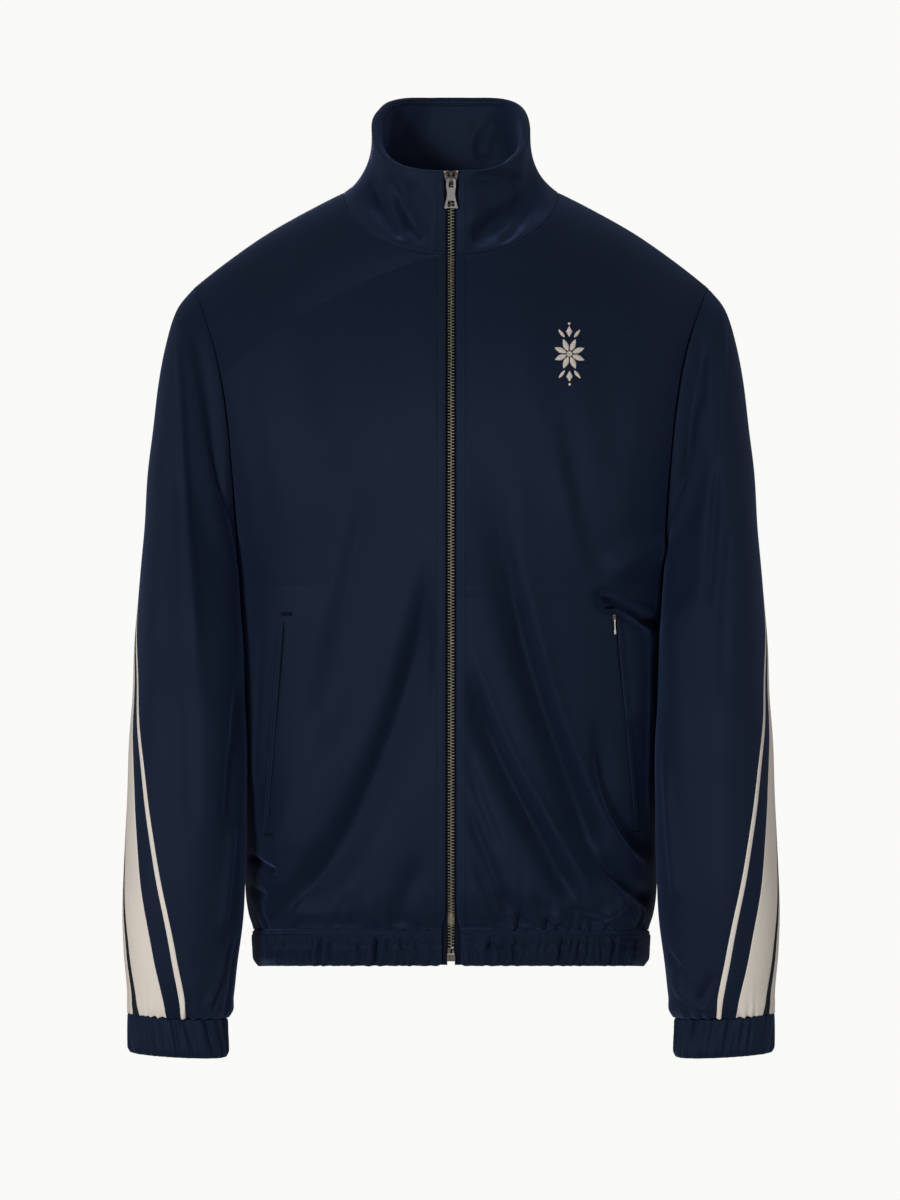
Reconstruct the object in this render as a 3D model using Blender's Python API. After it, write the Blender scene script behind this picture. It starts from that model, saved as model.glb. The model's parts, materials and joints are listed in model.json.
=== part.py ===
"""Track jacket: a zipped jersey jacket with a stand collar, gathered hem and cuffs, two slanted pockets
and a wedge of stripes let into the outside of each sleeve. It hangs hollow, as if filled out by a wearer.

Lengths below are millimetres and angles are degrees. add_mesh writes metres. +Z is up, the front faces -Y
and +X is the wearer's left. The origin lies between the neck points of the two shoulders.
Every cloth piece is a wall: an outer skin of rows and columns, and the same skin moved inwards.
"""

import math

import bpy
import numpy as np
from mathutils import Matrix, Vector
from mathutils.bvhtree import BVHTree

MM = 0.001
TO_RIGHT = np.array([-1.0, 1.0, 1.0])

# Cloth, seams and the opening at the front
CLOTH = 1.8
SEAM_GAP = 0.3
ZIP_EDGE_X = 6.5
FINE = 4

# Heights of the main seams
HEM_BOTTOM_Z = -672.0
HEM_SEAM_Z = -640.0
HEM_DIP = 7.7
HEM_DIP_FROM_Z = -500.0
UNDERARM_Z = -345.0
SHOULDER_TIP_X = 226.5
SHOULDER_TIP_Z = -84.5

# Neck seam: half an ellipse in front, and a shallow one behind
NECK_HALF_WIDTH = 94.0
NECK_FRONT_DROP = 62.0
NECK_BACK_RISE = 5.0

# Collar rim, which tilts forwards
RIM_HALF_WIDTH = 70.0
RIM_FRONT_Y = -81.0
RIM_BACK_Y = 66.0
RIM_FRONT_Z = 12.0
RIM_BACK_Z = 89.0
RIM_RISE_POWER = 1.45
COLLAR_FLARE_POWER = 2.0

# Trunk sections are super-ellipses, which round off under the shoulder line
SQUARENESS = 2.5
RIDGE_Y = 8.0
FRONT_ROUNDING = 262.0
BACK_ROUNDING = 150.0

TRUNK_COLUMNS = ("height", "half_width", "widest_y", "front_y", "back_y")
TRUNK_SECTIONS = (
    (-672.0, 173.0, 5.0, -95.0, 83.0),
    (-640.0, 175.0, 5.0, -98.0, 85.0),
    (-626.0, 178.5, 6.0, -107.0, 90.0),
    (-600.0, 180.5, 6.0, -113.0, 93.0),
    (-520.0, 183.0, 10.0, -118.0, 94.0),
    (-430.0, 185.0, 12.0, -121.0, 97.0),
    (-345.0, 189.0, 12.0, -125.0, 106.0),
    (-270.0, 199.0, 11.0, -126.0, 113.0),
    (-200.0, 213.0, 10.0, -125.0, 116.0),
    (-130.0, 228.0, 9.0, -122.0, 115.0),
    (-80.0, 241.0, 8.0, -120.0, 112.0),
    (40.0, 256.0, 8.0, -119.0, 106.0),
)

SHOULDER_COLUMNS = ("x", "height")
SHOULDER_LINE = (
    (0.0, 28.0),
    (30.0, 25.0),
    (60.0, 15.5),
    (94.0, 0.0),
    (124.5, -15.5),
    (160.0, -35.5),
    (190.0, -56.0),
    (SHOULDER_TIP_X, SHOULDER_TIP_Z),
    (250.0, -106.0),
)

# Armhole seam, from the underarm to the shoulder tip
ARMHOLE_COLUMNS = ("height", "front_x", "back_x")
ARMHOLE_SEAM = (
    (UNDERARM_Z, 189.0, 189.0),
    (-338.0, 188.4, 189.6),
    (-318.0, 186.2, 191.0),
    (-285.0, 187.5, 194.5),
    (-245.0, 190.0, 199.5),
    (-204.0, 193.8, 204.5),
    (-164.0, 200.0, 210.0),
    (-135.0, 206.5, 214.5),
    (-108.0, 215.5, 219.5),
    (-92.0, 222.0, 223.5),
    (SHOULDER_TIP_Z, SHOULDER_TIP_X, SHOULDER_TIP_X),
)

# Sleeve rings, from the armhole to the cuff seam: each spans an outer and an inner point
SLEEVE_COLUMNS = ("station", "outer_x", "outer_z", "inner_x", "inner_z", "centre_y", "half_depth")
SLEEVE_RINGS = (
    (0.0, SHOULDER_TIP_X, SHOULDER_TIP_Z, 189.0, UNDERARM_Z, -2.0, 54.0),
    (1.0, 240.0, -102.0, 189.5, -352.0, -3.0, 57.0),
    (2.0, 250.5, -138.0, 188.0, -360.0, -6.0, 60.0),
    (3.0, 259.5, -200.0, 185.5, -373.0, -12.0, 63.0),
    (4.0, 266.0, -270.0, 182.0, -395.0, -22.0, 64.0),
    (5.0, 270.8, -340.0, 179.5, -428.0, -34.0, 63.0),
    (6.0, 275.0, -410.0, 178.0, -470.0, -44.0, 61.0),
    (7.0, 278.0, -479.0, 177.0, -518.0, -52.0, 59.5),
    (8.0, 281.0, -548.0, 177.0, -570.0, -57.0, 58.0),
    (9.0, 283.3, -608.0, 179.0, -620.0, -60.0, 55.0),
    (10.0, 283.6, -660.0, 182.7, -664.0, -62.0, 49.0),
    (11.0, 281.0, -694.0, 186.5, -699.0, -64.0, 41.0),
    (12.0, 278.6, -714.5, 193.0, -719.0, -65.0, 33.0),
)
LAST_STATION = 12.0
CAP_STATIONS = 4.0
ARM_CLEARANCE = 2.0
CLEARANCE_STATIONS = 0.7
SEAM_STATIONS = 0.25
PRESSED_BELOW_Z = -268.0
PRESSED_FADE = 30.0

# Edges of the striped wedge, as angles on the sleeve: 0 is the outer side, positive is towards the front
WEDGE_COLUMNS = ("outer_z", "front", "pipe_back", "band_back", "panel_back", "line_back", "back")
WEDGE_EDGES = (
    (-290.0, -14.0, -15.2, -16.4, -17.8, -19.0, -20.4),
    (-323.0, -5.0, -7.5, -9.5, -16.5, -18.5, -25.0),
    (-393.0, 15.0, 11.0, 5.0, -14.0, -17.5, -34.0),
    (-438.0, 28.8, 24.3, 15.3, -10.0, -14.0, -35.0),
    (-517.0, 49.9, 44.6, 29.2, 0.0, -5.0, -30.0),
    (-610.0, 75.2, 70.2, 50.5, 18.5, 12.5, -18.0),
    (-714.5, 101.9, 95.5, 79.0, 41.0, 29.5, -6.0),
)
WEDGE_TOP_Z = -290.0
SEAM_ANGLE_AT_CAP = -34.0
SEAM_ANGLE_AT_WEDGE = -17.2

# Cuff: a band round the sleeve's last ring
CUFF_DROP = 35.5
CUFF_HALF_DEPTH = 32.5
CUFF_GROW = 0.8
CUFF_COLUMNS = 60
CUFF_GATHER = 0.8

# Hem band
HEM_COLUMNS = 120
HEM_GATHER = 0.7
HEM_END_X = 8.0
BAND_HEIGHTS = (HEM_BOTTOM_Z, HEM_BOTTOM_Z + 3.0, HEM_BOTTOM_Z + 18.0, HEM_SEAM_Z)

# Mesh rows and columns
PANEL_COLUMNS = 12
LOWER_LEVELS = (0.0, 0.04, 0.10, 0.20, 0.32, 0.46, 0.60, 0.74, 0.87, 1.0)
PLACKET_WIDTH = 9.5
CHEST_ROWS = 7
NECK_ROWS = 6
NECK_ROW_ANGLE = 68.0
COLLAR_ROWS = 5

# Largest folds: a curved trough (negative depth) or ridge, by its start, bend and end
FOLD_COLUMNS = ("start_x", "start_z", "bend_x", "bend_z", "end_x", "end_z", "width", "depth")
RIGHT_FRONT_FOLDS = (
    (18.0, -300.0, 45.0, -480.0, 138.0, -630.0, 24.0, -6.0),
    (70.0, -215.0, 120.0, -350.0, 134.0, -430.0, 22.0, -3.0),
    (60.0, -380.0, 95.0, -520.0, 165.0, -600.0, 16.0, 3.0),
)
LEFT_FRONT_FOLDS = (
    (20.0, -220.0, 60.0, -350.0, 145.0, -567.0, 18.0, -4.0),
    (50.0, -335.0, 85.0, -480.0, 160.0, -595.0, 14.0, 4.0),
    (66.0, -426.0, 96.0, -530.0, 150.0, -612.0, 14.0, -5.0),
    (16.0, -447.0, 46.0, -550.0, 85.0, -622.0, 16.0, -4.0),
    (111.0, -225.0, 118.0, -270.0, 120.0, -322.0, 16.0, -2.5),
)
BACK_FOLDS = (
    (-60.0, -230.0, -95.0, -430.0, -130.0, -625.0, 24.0, -5.0),
    (70.0, -260.0, 105.0, -450.0, 128.0, -618.0, 22.0, -4.5),
    (14.0, -360.0, -14.0, -500.0, -40.0, -630.0, 20.0, -4.0),
    (34.0, -420.0, 52.0, -540.0, 66.0, -630.0, 18.0, 3.5),
)
# On a sleeve the first coordinate is the angle, and a degree is about a millimetre
SLEEVE_FOLDS = (
    (36.0, -130.0, 46.0, -260.0, 60.0, -400.0, 14.0, 3.0),
    (62.0, -125.0, 76.0, -260.0, 96.0, -390.0, 14.0, -3.5),
    (-70.0, -170.0, -80.0, -300.0, -70.0, -430.0, 16.0, -3.0),
    (160.0, -480.0, 130.0, -520.0, 100.0, -540.0, 14.0, -3.0),
    (150.0, -610.0, 142.0, -660.0, 132.0, -706.0, 11.0, -3.0),
    (-120.0, -560.0, -100.0, -630.0, -80.0, -700.0, 14.0, -3.0),
)
COLLAR_FOLDS = (
    (-62.0, 72.0, -48.0, 40.0, -30.0, 6.0, 9.0, -1.6),
    (64.0, 70.0, 46.0, 44.0, 20.0, 12.0, 9.0, -2.6),
)

# Zip
CHAIN_HALF_WIDTH = 2.9
CHAIN_FRONT = -0.4
CHAIN_BACK = -3.2
TAPE_INNER_X = 3.2
TAPE_OUTER_X = 9.5
TAPE_THICKNESS = 1.0
TAPE_LEAN = 0.8
BOX_HALF_WIDTH = 5.6
BOX_BOTTOM_Z = -671.5
BOX_TOP_Z = -661.0
BOX_FRONT = 1.0
SLIDER_BOTTOM_Z = -1.0

# Slider and pull tab of the main zip; the pocket's are a narrow small copy
SLIDER_COLUMNS = ("length", "top_half", "bottom_half", "back", "front", "arch_half", "axis_height",
                  "axis_front", "bar", "arch_inner", "arch_outer")
MAIN_SLIDER = (13.0, 5.7, 4.0, -1.7, 3.0, 1.1, 4.1, 4.05, 0.65, 1.25, 2.35)
POCKET_SLIDER = (4.6, 1.5, 1.3, 0.4, 1.4, 0.45, 2.4, 2.0, 0.32, 0.62, 1.15)
PULL_COLUMNS = ("length", "neck_half", "foot_half", "slot_half", "slot_length", "hole_radius", "lean")
MAIN_PULL = (25.0, 4.0, 5.7, 2.1, 7.2, 2.6, 2.5)
POCKET_PULL = (15.0, 1.2, 1.2, 0.72, 2.2, 0.0, 1.0)

# Pockets
POCKET_COLUMNS = ("x", "height")
POCKET_TOP = (141.5, -372.0)
POCKET_BOTTOM = (158.5, -556.0)
WELT_WIDTH = 4.6
WELT_THICKNESS = 1.2
WELT_GAP = 0.45
WELT_ROWS = 18

COLOURS = {
    "jersey": ((0.010, 0.017, 0.040, 1.0), 0.62, 0.0),
    "beige_jersey": ((0.68, 0.60, 0.51, 1.0), 0.75, 0.0),
    "black_jersey": ((0.008, 0.008, 0.010, 1.0), 0.70, 0.0),
    "zip_tape": ((0.012, 0.018, 0.035, 1.0), 0.80, 0.0),
    "zip_metal": ((0.45, 0.40, 0.33, 1.0), 0.35, 1.0),
    "slider_metal": ((0.30, 0.28, 0.25, 1.0), 0.35, 1.0),
    "pull_metal": ((0.72, 0.70, 0.67, 1.0), 0.25, 1.0),
}


# ---------------------------------------------------------------- curves and small helpers

def smooth(value):
    """0 below 0, 1 above 1, and a soft step between."""
    value = np.clip(value, 0.0, 1.0)
    return value * value * (3.0 - 2.0 * value)


def unit(vectors):
    return vectors / np.linalg.norm(vectors, axis=-1, keepdims=True)


def named(columns, row):
    return dict(zip(columns, row))


def curve(table, columns, key, value):
    """A smooth curve through a table's rows, without overshoot, which gives `value` at any `key`."""
    rows = sorted(table, key=lambda row: row[columns.index(key)])
    x = np.array([row[columns.index(key)] for row in rows])
    y = np.array([row[columns.index(value)] for row in rows])
    step = np.diff(x)
    slope = np.diff(y) / step
    tangent = np.concatenate([slope[:1], np.zeros(len(x) - 2), slope[-1:]])
    for i in range(1, len(x) - 1):
        if slope[i - 1] * slope[i] > 0:
            before, after = 2 * step[i] + step[i - 1], step[i] + 2 * step[i - 1]
            tangent[i] = (before + after) / (before / slope[i - 1] + after / slope[i])

    def at(points):
        points = np.clip(np.asarray(points, float), x[0], x[-1])
        i = np.clip(np.searchsorted(x, points, side="right") - 1, 0, len(x) - 2)
        t = (points - x[i]) / step[i]
        rise = y[i + 1] - y[i]
        bend = t * (1 - t) * ((1 - t) * (tangent[i] * step[i] - rise) - t * (tangent[i + 1] * step[i] - rise))
        return y[i] + rise * t + bend

    return at


def trunk_curve(name):
    return curve(TRUNK_SECTIONS, TRUNK_COLUMNS, "height", name)


half_width, widest_y, front_y, back_y = (trunk_curve(name) for name in TRUNK_COLUMNS[1:])
shoulder_z = curve(SHOULDER_LINE, SHOULDER_COLUMNS, "x", "height")
armhole_x = {-1: curve(ARMHOLE_SEAM, ARMHOLE_COLUMNS, "height", "front_x"),
             1: curve(ARMHOLE_SEAM, ARMHOLE_COLUMNS, "height", "back_x")}
ring = {name: curve(SLEEVE_RINGS, SLEEVE_COLUMNS, "station", name) for name in SLEEVE_COLUMNS[1:]}
station_at = curve(SLEEVE_RINGS, SLEEVE_COLUMNS, "outer_z", "station")
wedge = {name: curve(WEDGE_EDGES, WEDGE_COLUMNS, "outer_z", name) for name in WEDGE_COLUMNS[1:]}


def fold_height(folds, x, z):
    """How far the cloth stands out (or sinks in) at x, z because of a table of folds."""
    height = np.zeros(np.broadcast(x, z).shape)
    steps = np.linspace(0.0, 1.0, 9)
    for row in folds:
        fold = named(FOLD_COLUMNS, row)
        start, bend, end = ((1 - steps) ** 2, 2 * steps * (1 - steps), steps ** 2)
        path_x = start * fold["start_x"] + bend * fold["bend_x"] + end * fold["end_x"]
        path_z = start * fold["start_z"] + bend * fold["bend_z"] + end * fold["end_z"]
        nearest = np.full(height.shape, np.inf)
        place = np.zeros(height.shape)
        for i in range(len(steps) - 1):
            along_x, along_z = path_x[i + 1] - path_x[i], path_z[i + 1] - path_z[i]
            t = ((x - path_x[i]) * along_x + (z - path_z[i]) * along_z) / (along_x ** 2 + along_z ** 2)
            t = np.clip(t, 0.0, 1.0)
            distance = np.hypot(x - path_x[i] - t * along_x, z - path_z[i] - t * along_z)
            place = np.where(distance < nearest, (i + t) / (len(steps) - 1), place)
            nearest = np.minimum(nearest, distance)
        ends = smooth(place / 0.3) * smooth((1 - place) / 0.3)
        height = height + fold["depth"] * ends * np.exp(-(nearest / fold["width"]) ** 2)
    return height


def finer(values):
    """The same values with FINE steps between each two."""
    places = np.arange(len(values))
    return np.interp(np.linspace(0, len(values) - 1, FINE * (len(values) - 1) + 1), places, values)


def normals_of(points):
    """Outward normals of a grid whose columns and rows turn right-handed seen from outside."""
    across = np.gradient(points, axis=1)
    along = np.gradient(points, axis=0)
    return unit(np.cross(across, along))


def spread_evenly(points, columns, first_width=None):
    """Each row of a dense grid, read at equal steps along its length, after a first one of its own width."""
    rows = []
    for row in points:
        length = np.concatenate([[0.0], np.cumsum(np.linalg.norm(np.diff(row, axis=0), axis=1))])
        places = np.linspace(0.0, length[-1], columns + 1)
        if first_width is not None:
            places = np.concatenate([[0.0], np.linspace(first_width, length[-1], columns)])
        places = finer(places)
        rows.append(np.stack([np.interp(places, length, row[:, i]) for i in range(3)], axis=1))
    return np.array(rows)


# ---------------------------------------------------------------- trunk

def trunk_y(x, z, facing):
    """Depth of the trunk's surface at x, z: facing is -1 for the front and 1 for the back."""
    across = np.clip(np.abs(x) / half_width(z), 0.0, 1.0)
    rounded = (1.0 - across ** SQUARENESS) ** (1.0 / SQUARENESS)
    face = front_y(z) if facing < 0 else back_y(z)
    section = widest_y(z) + (face - widest_y(z)) * rounded
    reach = FRONT_ROUNDING if facing < 0 else BACK_ROUNDING
    below = np.clip((shoulder_z(np.abs(x)) - z) / reach, 0.0, 1.0)
    return RIDGE_Y + (section - RIDGE_Y) * np.sqrt(1.0 - (1.0 - below) ** 2)


def trunk_side_x(y, z):
    """Half width of the trunk at depth y."""
    from_widest = y - widest_y(z)
    face = np.where(from_widest < 0, front_y(z), back_y(z)) - widest_y(z)
    ratio = np.clip(np.abs(from_widest / face), 0.0, 1.0)
    return half_width(z) * (1.0 - ratio ** SQUARENESS) ** (1.0 / SQUARENESS)


def armhole_z(angle):
    """Height on the armhole seam: angle 0 is the shoulder tip, 180 the underarm."""
    middle, half = (SHOULDER_TIP_Z + UNDERARM_Z) / 2, (SHOULDER_TIP_Z - UNDERARM_Z) / 2
    return middle + half * np.cos(np.radians(angle))


def armhole_points(angle):
    """Points of the armhole seam: angles 0 to 180 run down the front, 180 to 360 up the back."""
    z = armhole_z(angle)
    front = np.stack([armhole_x[-1](z), trunk_y(armhole_x[-1](z), z, -1), z], axis=-1)
    back = np.stack([armhole_x[1](z), trunk_y(armhole_x[1](z), z, 1), z], axis=-1)
    return np.where((np.asarray(angle) % 360.0 <= 180.0)[..., None], front, back)


def level_angle(level):
    """Armhole angle at a panel's level: 1 is the underarm, 2 the neck corner's row, 3 the shoulder."""
    return np.interp(level, [1.0, 2.0, 3.0], [180.0, NECK_ROW_ANGLE, 0.0])


def neck_angle(level, first_x):
    """Angle round the neck seam at levels 2 to 3: 0 is the centre, 90 the shoulder."""
    first = math.degrees(math.asin(first_x / NECK_HALF_WIDTH))
    return np.interp(level, [2.0, 3.0], [first, 90.0])


def neck_height(angle, facing):
    """Height of the neck seam at an angle from the centre line."""
    across = np.cos(np.radians(angle))
    return -NECK_FRONT_DROP * across if facing < 0 else NECK_BACK_RISE * across ** 2


def inner_edge(level, facing):
    """A half panel's edge up the centre line and round the neck: levels 0 to 1, 1 to 2 and 2 to 3."""
    first_x = ZIP_EDGE_X if facing < 0 else 0.0
    angle = neck_angle(level, first_x)
    corner_z = neck_height(neck_angle(2.0, first_x), facing)
    x = np.where(level < 2.0, first_x, NECK_HALF_WIDTH * np.sin(np.radians(angle)))
    z = np.interp(level, [0.0, 1.0, 2.0], [HEM_SEAM_Z, UNDERARM_Z, corner_z])
    return x, np.where(level < 2.0, z, neck_height(angle, facing))


def outer_edge(level, facing):
    """A half panel's edge up the side seam and round the armhole."""
    side_z = np.interp(level, [0.0, 1.0], [HEM_SEAM_Z, UNDERARM_Z])
    seam_z = armhole_z(level_angle(level))
    x = np.where(level < 1.0, half_width(side_z), armhole_x[facing](seam_z))
    return x, np.where(level < 1.0, side_z, seam_z)


def panel_levels():
    chest = np.linspace(1.0, 2.0, CHEST_ROWS + 1)
    neck = np.linspace(2.0, 3.0, NECK_ROWS + 1)
    return np.concatenate([LOWER_LEVELS, chest[1:], neck[1:]])


def dipped(points):
    """Trunk points, with the hem lower at the sides and back than beside the zip."""
    y, z = points[..., 1], points[..., 2]
    behind = np.clip((y - front_y(z)) / (widest_y(z) - front_y(z)), 0.0, 1.0)
    low = smooth((HEM_DIP_FROM_Z - z) / (HEM_DIP_FROM_Z - HEM_SEAM_Z))
    return np.stack([points[..., 0], y, z - HEM_DIP * behind * low], axis=-1)


def half_panel(facing):
    """Fine grid of a half panel on the wearer's left, from the centre out to the side and armhole."""
    level = finer(panel_levels())[:, None]
    t = np.linspace(0.0, 1.0, 161)[None, :]
    inner_x, inner_z = inner_edge(level, facing)
    outer_x, outer_z = outer_edge(level, facing)
    widest = half_width(outer_z)
    power = SQUARENESS / 2.0
    first = np.arcsin(np.clip(inner_x / widest, 0.0, 1.0) ** power)
    last = np.arcsin(np.clip(outer_x / widest, 0.0, 1.0) ** power)
    x = widest * np.sin(first + (last - first) * t) ** (1.0 / power)
    level_z = inner_z + (outer_z - inner_z) * t
    below_inner = shoulder_z(inner_x) - inner_z
    below_outer = shoulder_z(outer_x) - outer_z
    sloped_z = shoulder_z(x) - below_inner - (below_outer - below_inner) * t
    z = level_z + (sloped_z - level_z) * smooth((level - 1.0) / 2.0)
    dense = dipped(np.stack([x, trunk_y(x, z, facing), z], axis=-1))
    return spread_evenly(dense, PANEL_COLUMNS, PLACKET_WIDTH if facing < 0 else None)


def fold_panel(points, folds, opens_in_front):
    """Move a trunk grid in and out along its normals by its folds, which die out at its seams."""
    x, z = points[..., 0], points[..., 2]
    to_side = 1.0 - np.clip(np.abs(x) / half_width(z), 0.0, 1.0)
    room = smooth(to_side / 0.07) * smooth((z - HEM_SEAM_Z) / 9.0)
    room = room * smooth((shoulder_z(np.abs(x)) - z) / 120.0)
    if opens_in_front:
        room = room * smooth((np.abs(x) - ZIP_EDGE_X - PLACKET_WIDTH) / 16.0)
    return points + normals_of(points) * (fold_height(folds, x, z) * room)[..., None]


def mirrored(points):
    """The same grid on the wearer's right, its columns turned so that it still faces out."""
    return points[:, ::-1] * TO_RIGHT


# ---------------------------------------------------------------- sleeves

def clear_of_trunk(points, station):
    """Sleeve points pressed outwards where they would enter the trunk below the underarm."""
    x, y, z = points[..., 0], points[..., 1], points[..., 2]
    ramp = smooth(station / CLEARANCE_STATIONS)
    least = trunk_side_x(y, z) + ARM_CLEARANCE * ramp
    soft = 4.0 * ramp
    pressed = (x + least + np.sqrt((x - least) ** 2 + soft ** 2)) / 2
    seam_stays = np.maximum(smooth(station / SEAM_STATIONS), z <= UNDERARM_Z)
    low = smooth((PRESSED_BELOW_Z - z) / PRESSED_FADE) * seam_stays
    return np.stack([x + (pressed - x) * low, y, z], axis=-1)


def sleeve_points(station, angle):
    """Points of the left sleeve at a station (0 armhole to 12 cuff seam) and an angle (0 outer, 90 front)."""
    station, angle = np.broadcast_arrays(np.asarray(station, float), np.asarray(angle, float))
    turn = np.radians(angle)

    def ring_points(at):
        half_x = (ring["outer_x"](at) - ring["inner_x"](at)) / 2
        half_z = (ring["outer_z"](at) - ring["inner_z"](at)) / 2
        x = ring["inner_x"](at) + half_x * (1 + np.cos(turn))
        z = ring["inner_z"](at) + half_z * (1 + np.cos(turn))
        y = ring["centre_y"](at) - ring["half_depth"](at) * np.sin(turn)
        return np.stack([x, y, z], axis=-1)

    cap = (1.0 - np.clip(station / CAP_STATIONS, 0.0, 1.0))[..., None] ** 2
    at_seam = armhole_points(angle) - ring_points(np.zeros_like(station))
    points = ring_points(station) + at_seam * cap
    return clear_of_trunk(points, station)


def sleeve_stations():
    upper = np.linspace(0.0, float(station_at(WEDGE_TOP_Z)), 9)
    lower = np.linspace(float(station_at(WEDGE_TOP_Z)) + 0.06, LAST_STATION, 14)
    return np.concatenate([upper, lower])


def wedge_angle(edge, station):
    return wedge[edge](ring["outer_z"](station))


def seam_angles():
    """Column angles of the sleeve at the armhole, which meet the trunk panels' rows one for one."""
    front = np.concatenate([np.linspace(0.0, NECK_ROW_ANGLE, NECK_ROWS + 1),
                            np.linspace(NECK_ROW_ANGLE, 180.0, CHEST_ROWS + 1)[1:]])
    around = np.concatenate([front, 360.0 - front[-2::-1]])
    first = int(np.argmin(np.abs(around - (360.0 + SEAM_ANGLE_AT_CAP))))
    return np.concatenate([around[first:-1] - 360.0, around[:first + 1]])


def fold_sleeve(points, station, angle, folds):
    turn = (angle + 180.0) % 360.0 - 180.0
    room = smooth(station / 1.2) * smooth((LAST_STATION - station) / 0.5)
    height = fold_height(folds, turn, ring["outer_z"](station) + 0.0 * turn) * room
    folded = points + normals_of(points) * height[..., None]
    return clear_of_trunk(folded, station)


def sleeve_main_grid():
    """The sleeve's cloth from the wedge's front edge round to its back edge, closed above the wedge."""
    station = finer(sleeve_stations())[:, None]
    closed = station <= float(station_at(WEDGE_TOP_Z)) + 0.001
    rise = np.clip(station / float(station_at(WEDGE_TOP_Z)), 0.0, 1.0)
    seam = SEAM_ANGLE_AT_CAP + (SEAM_ANGLE_AT_WEDGE - SEAM_ANGLE_AT_CAP) * smooth(rise)
    first = np.where(closed, seam, wedge_angle("front", station))
    last = np.where(closed, seam, wedge_angle("back", station)) + 360.0
    columns = finer(seam_angles())
    share = (columns - columns[0]) / 360.0
    angle = first + (last - first) * share[None, :]
    return fold_sleeve(sleeve_points(station, angle), station, angle, SLEEVE_FOLDS)


def sleeve_strip_grid(front_edge, back_edge, columns):
    """One strip of the wedge, from its back edge to its front edge."""
    stations = sleeve_stations()
    station = finer(stations[stations > float(station_at(WEDGE_TOP_Z)) + 0.001])[:, None]
    share = np.linspace(0.0, 1.0, FINE * columns + 1)[None, :]
    first, last = wedge_angle(back_edge, station), wedge_angle(front_edge, station)
    angle = first + (last - first) * share
    return fold_sleeve(sleeve_points(station, angle), station, angle, SLEEVE_FOLDS)


def cuff_grid():
    """The cuff: a band on the sleeve's last ring, gathered into small ridges by its elastic."""
    drop = finer(np.array([0.0, 0.45, 1.0]))[:, None]
    angle = np.linspace(0.0, 360.0, FINE * CUFF_COLUMNS + 1)[None, :]
    gather = np.cos(np.pi * CUFF_COLUMNS * angle / 360.0) * (0.7 + 0.3 * np.sin(np.radians(angle * 3 + 40)))
    out = CUFF_GROW + CUFF_GATHER * gather * (1.0 - 0.6 * drop) - 0.8 * smooth((drop - 0.7) / 0.3)
    outer = np.array([ring["outer_x"](LAST_STATION), ring["outer_z"](LAST_STATION)])
    inner = np.array([ring["inner_x"](LAST_STATION), ring["inner_z"](LAST_STATION)])
    half = (outer - inner) / 2
    turn = np.radians(angle)
    x = inner[0] + half[0] + (half[0] + out) * np.cos(turn)
    z = inner[1] + half[1] * (1 + np.cos(turn)) - CUFF_DROP * drop
    y = ring["centre_y"](LAST_STATION) - (CUFF_HALF_DEPTH + out) * np.sin(turn)
    return np.stack([x, y, z], axis=-1)


# ---------------------------------------------------------------- collar and hem band

def collar_angles(first_x, radius):
    """Angles round the collar, 0 at the zip and 180 behind, whose ends stand first_x from the centre."""
    front_first = math.degrees(math.asin(first_x / radius))
    front = np.linspace(front_first, 90.0, NECK_ROWS + 1)
    back = np.linspace(90.0, 180.0, NECK_ROWS + 1)
    half = np.concatenate([front, back[1:]])
    return finer(np.concatenate([half, 360.0 - half[-2::-1]]))


def collar_grid():
    """The stand collar, from the neck seam up to its tilted rim."""
    rise = finer(np.linspace(0.0, 1.0, COLLAR_ROWS + 1))[:, None, None]
    base = collar_angles(ZIP_EDGE_X, NECK_HALF_WIDTH)
    base_turn = np.radians(base)
    in_front = np.cos(base_turn) >= 0
    base_x = NECK_HALF_WIDTH * np.sin(base_turn)
    base_z = np.where(in_front, neck_height(base, -1), neck_height(180.0 - base, 1))
    base_y = np.where(in_front, trunk_y(base_x, base_z, -1), trunk_y(base_x, base_z, 1))
    rim_turn = np.radians(collar_angles(ZIP_EDGE_X, RIM_HALF_WIDTH))
    rim_x = RIM_HALF_WIDTH * np.sin(rim_turn)
    rim_y = (RIM_FRONT_Y + RIM_BACK_Y) / 2 - (RIM_BACK_Y - RIM_FRONT_Y) / 2 * np.cos(rim_turn)
    backwards = np.clip((rim_y - RIM_FRONT_Y) / (RIM_BACK_Y - RIM_FRONT_Y), 0.0, 1.0)
    rim_z = RIM_FRONT_Z + (RIM_BACK_Z - RIM_FRONT_Z) * np.sin(backwards * np.pi / 2) ** RIM_RISE_POWER
    bottom = np.stack([base_x, base_y, base_z], axis=-1)[None]
    top = np.stack([rim_x, rim_y, rim_z], axis=-1)[None]
    power = 1.0 + COLLAR_FLARE_POWER * np.sin(base_turn)[None, :, None] ** 2
    straight = bottom + (top - bottom) * rise
    flared = top + (bottom - top) * (1.0 - rise) ** power
    points = np.concatenate([flared[..., :2], straight[..., 2:]], axis=-1)
    room = smooth(rise[..., 0] / 0.15) * smooth((np.abs(points[..., 0]) - ZIP_EDGE_X) / 12.0)
    in_view = points[..., 1] < 0
    height = fold_height(COLLAR_FOLDS, points[..., 0], points[..., 2] + NECK_FRONT_DROP) * room * in_view
    return points + normals_of(points) * height[..., None]


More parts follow.
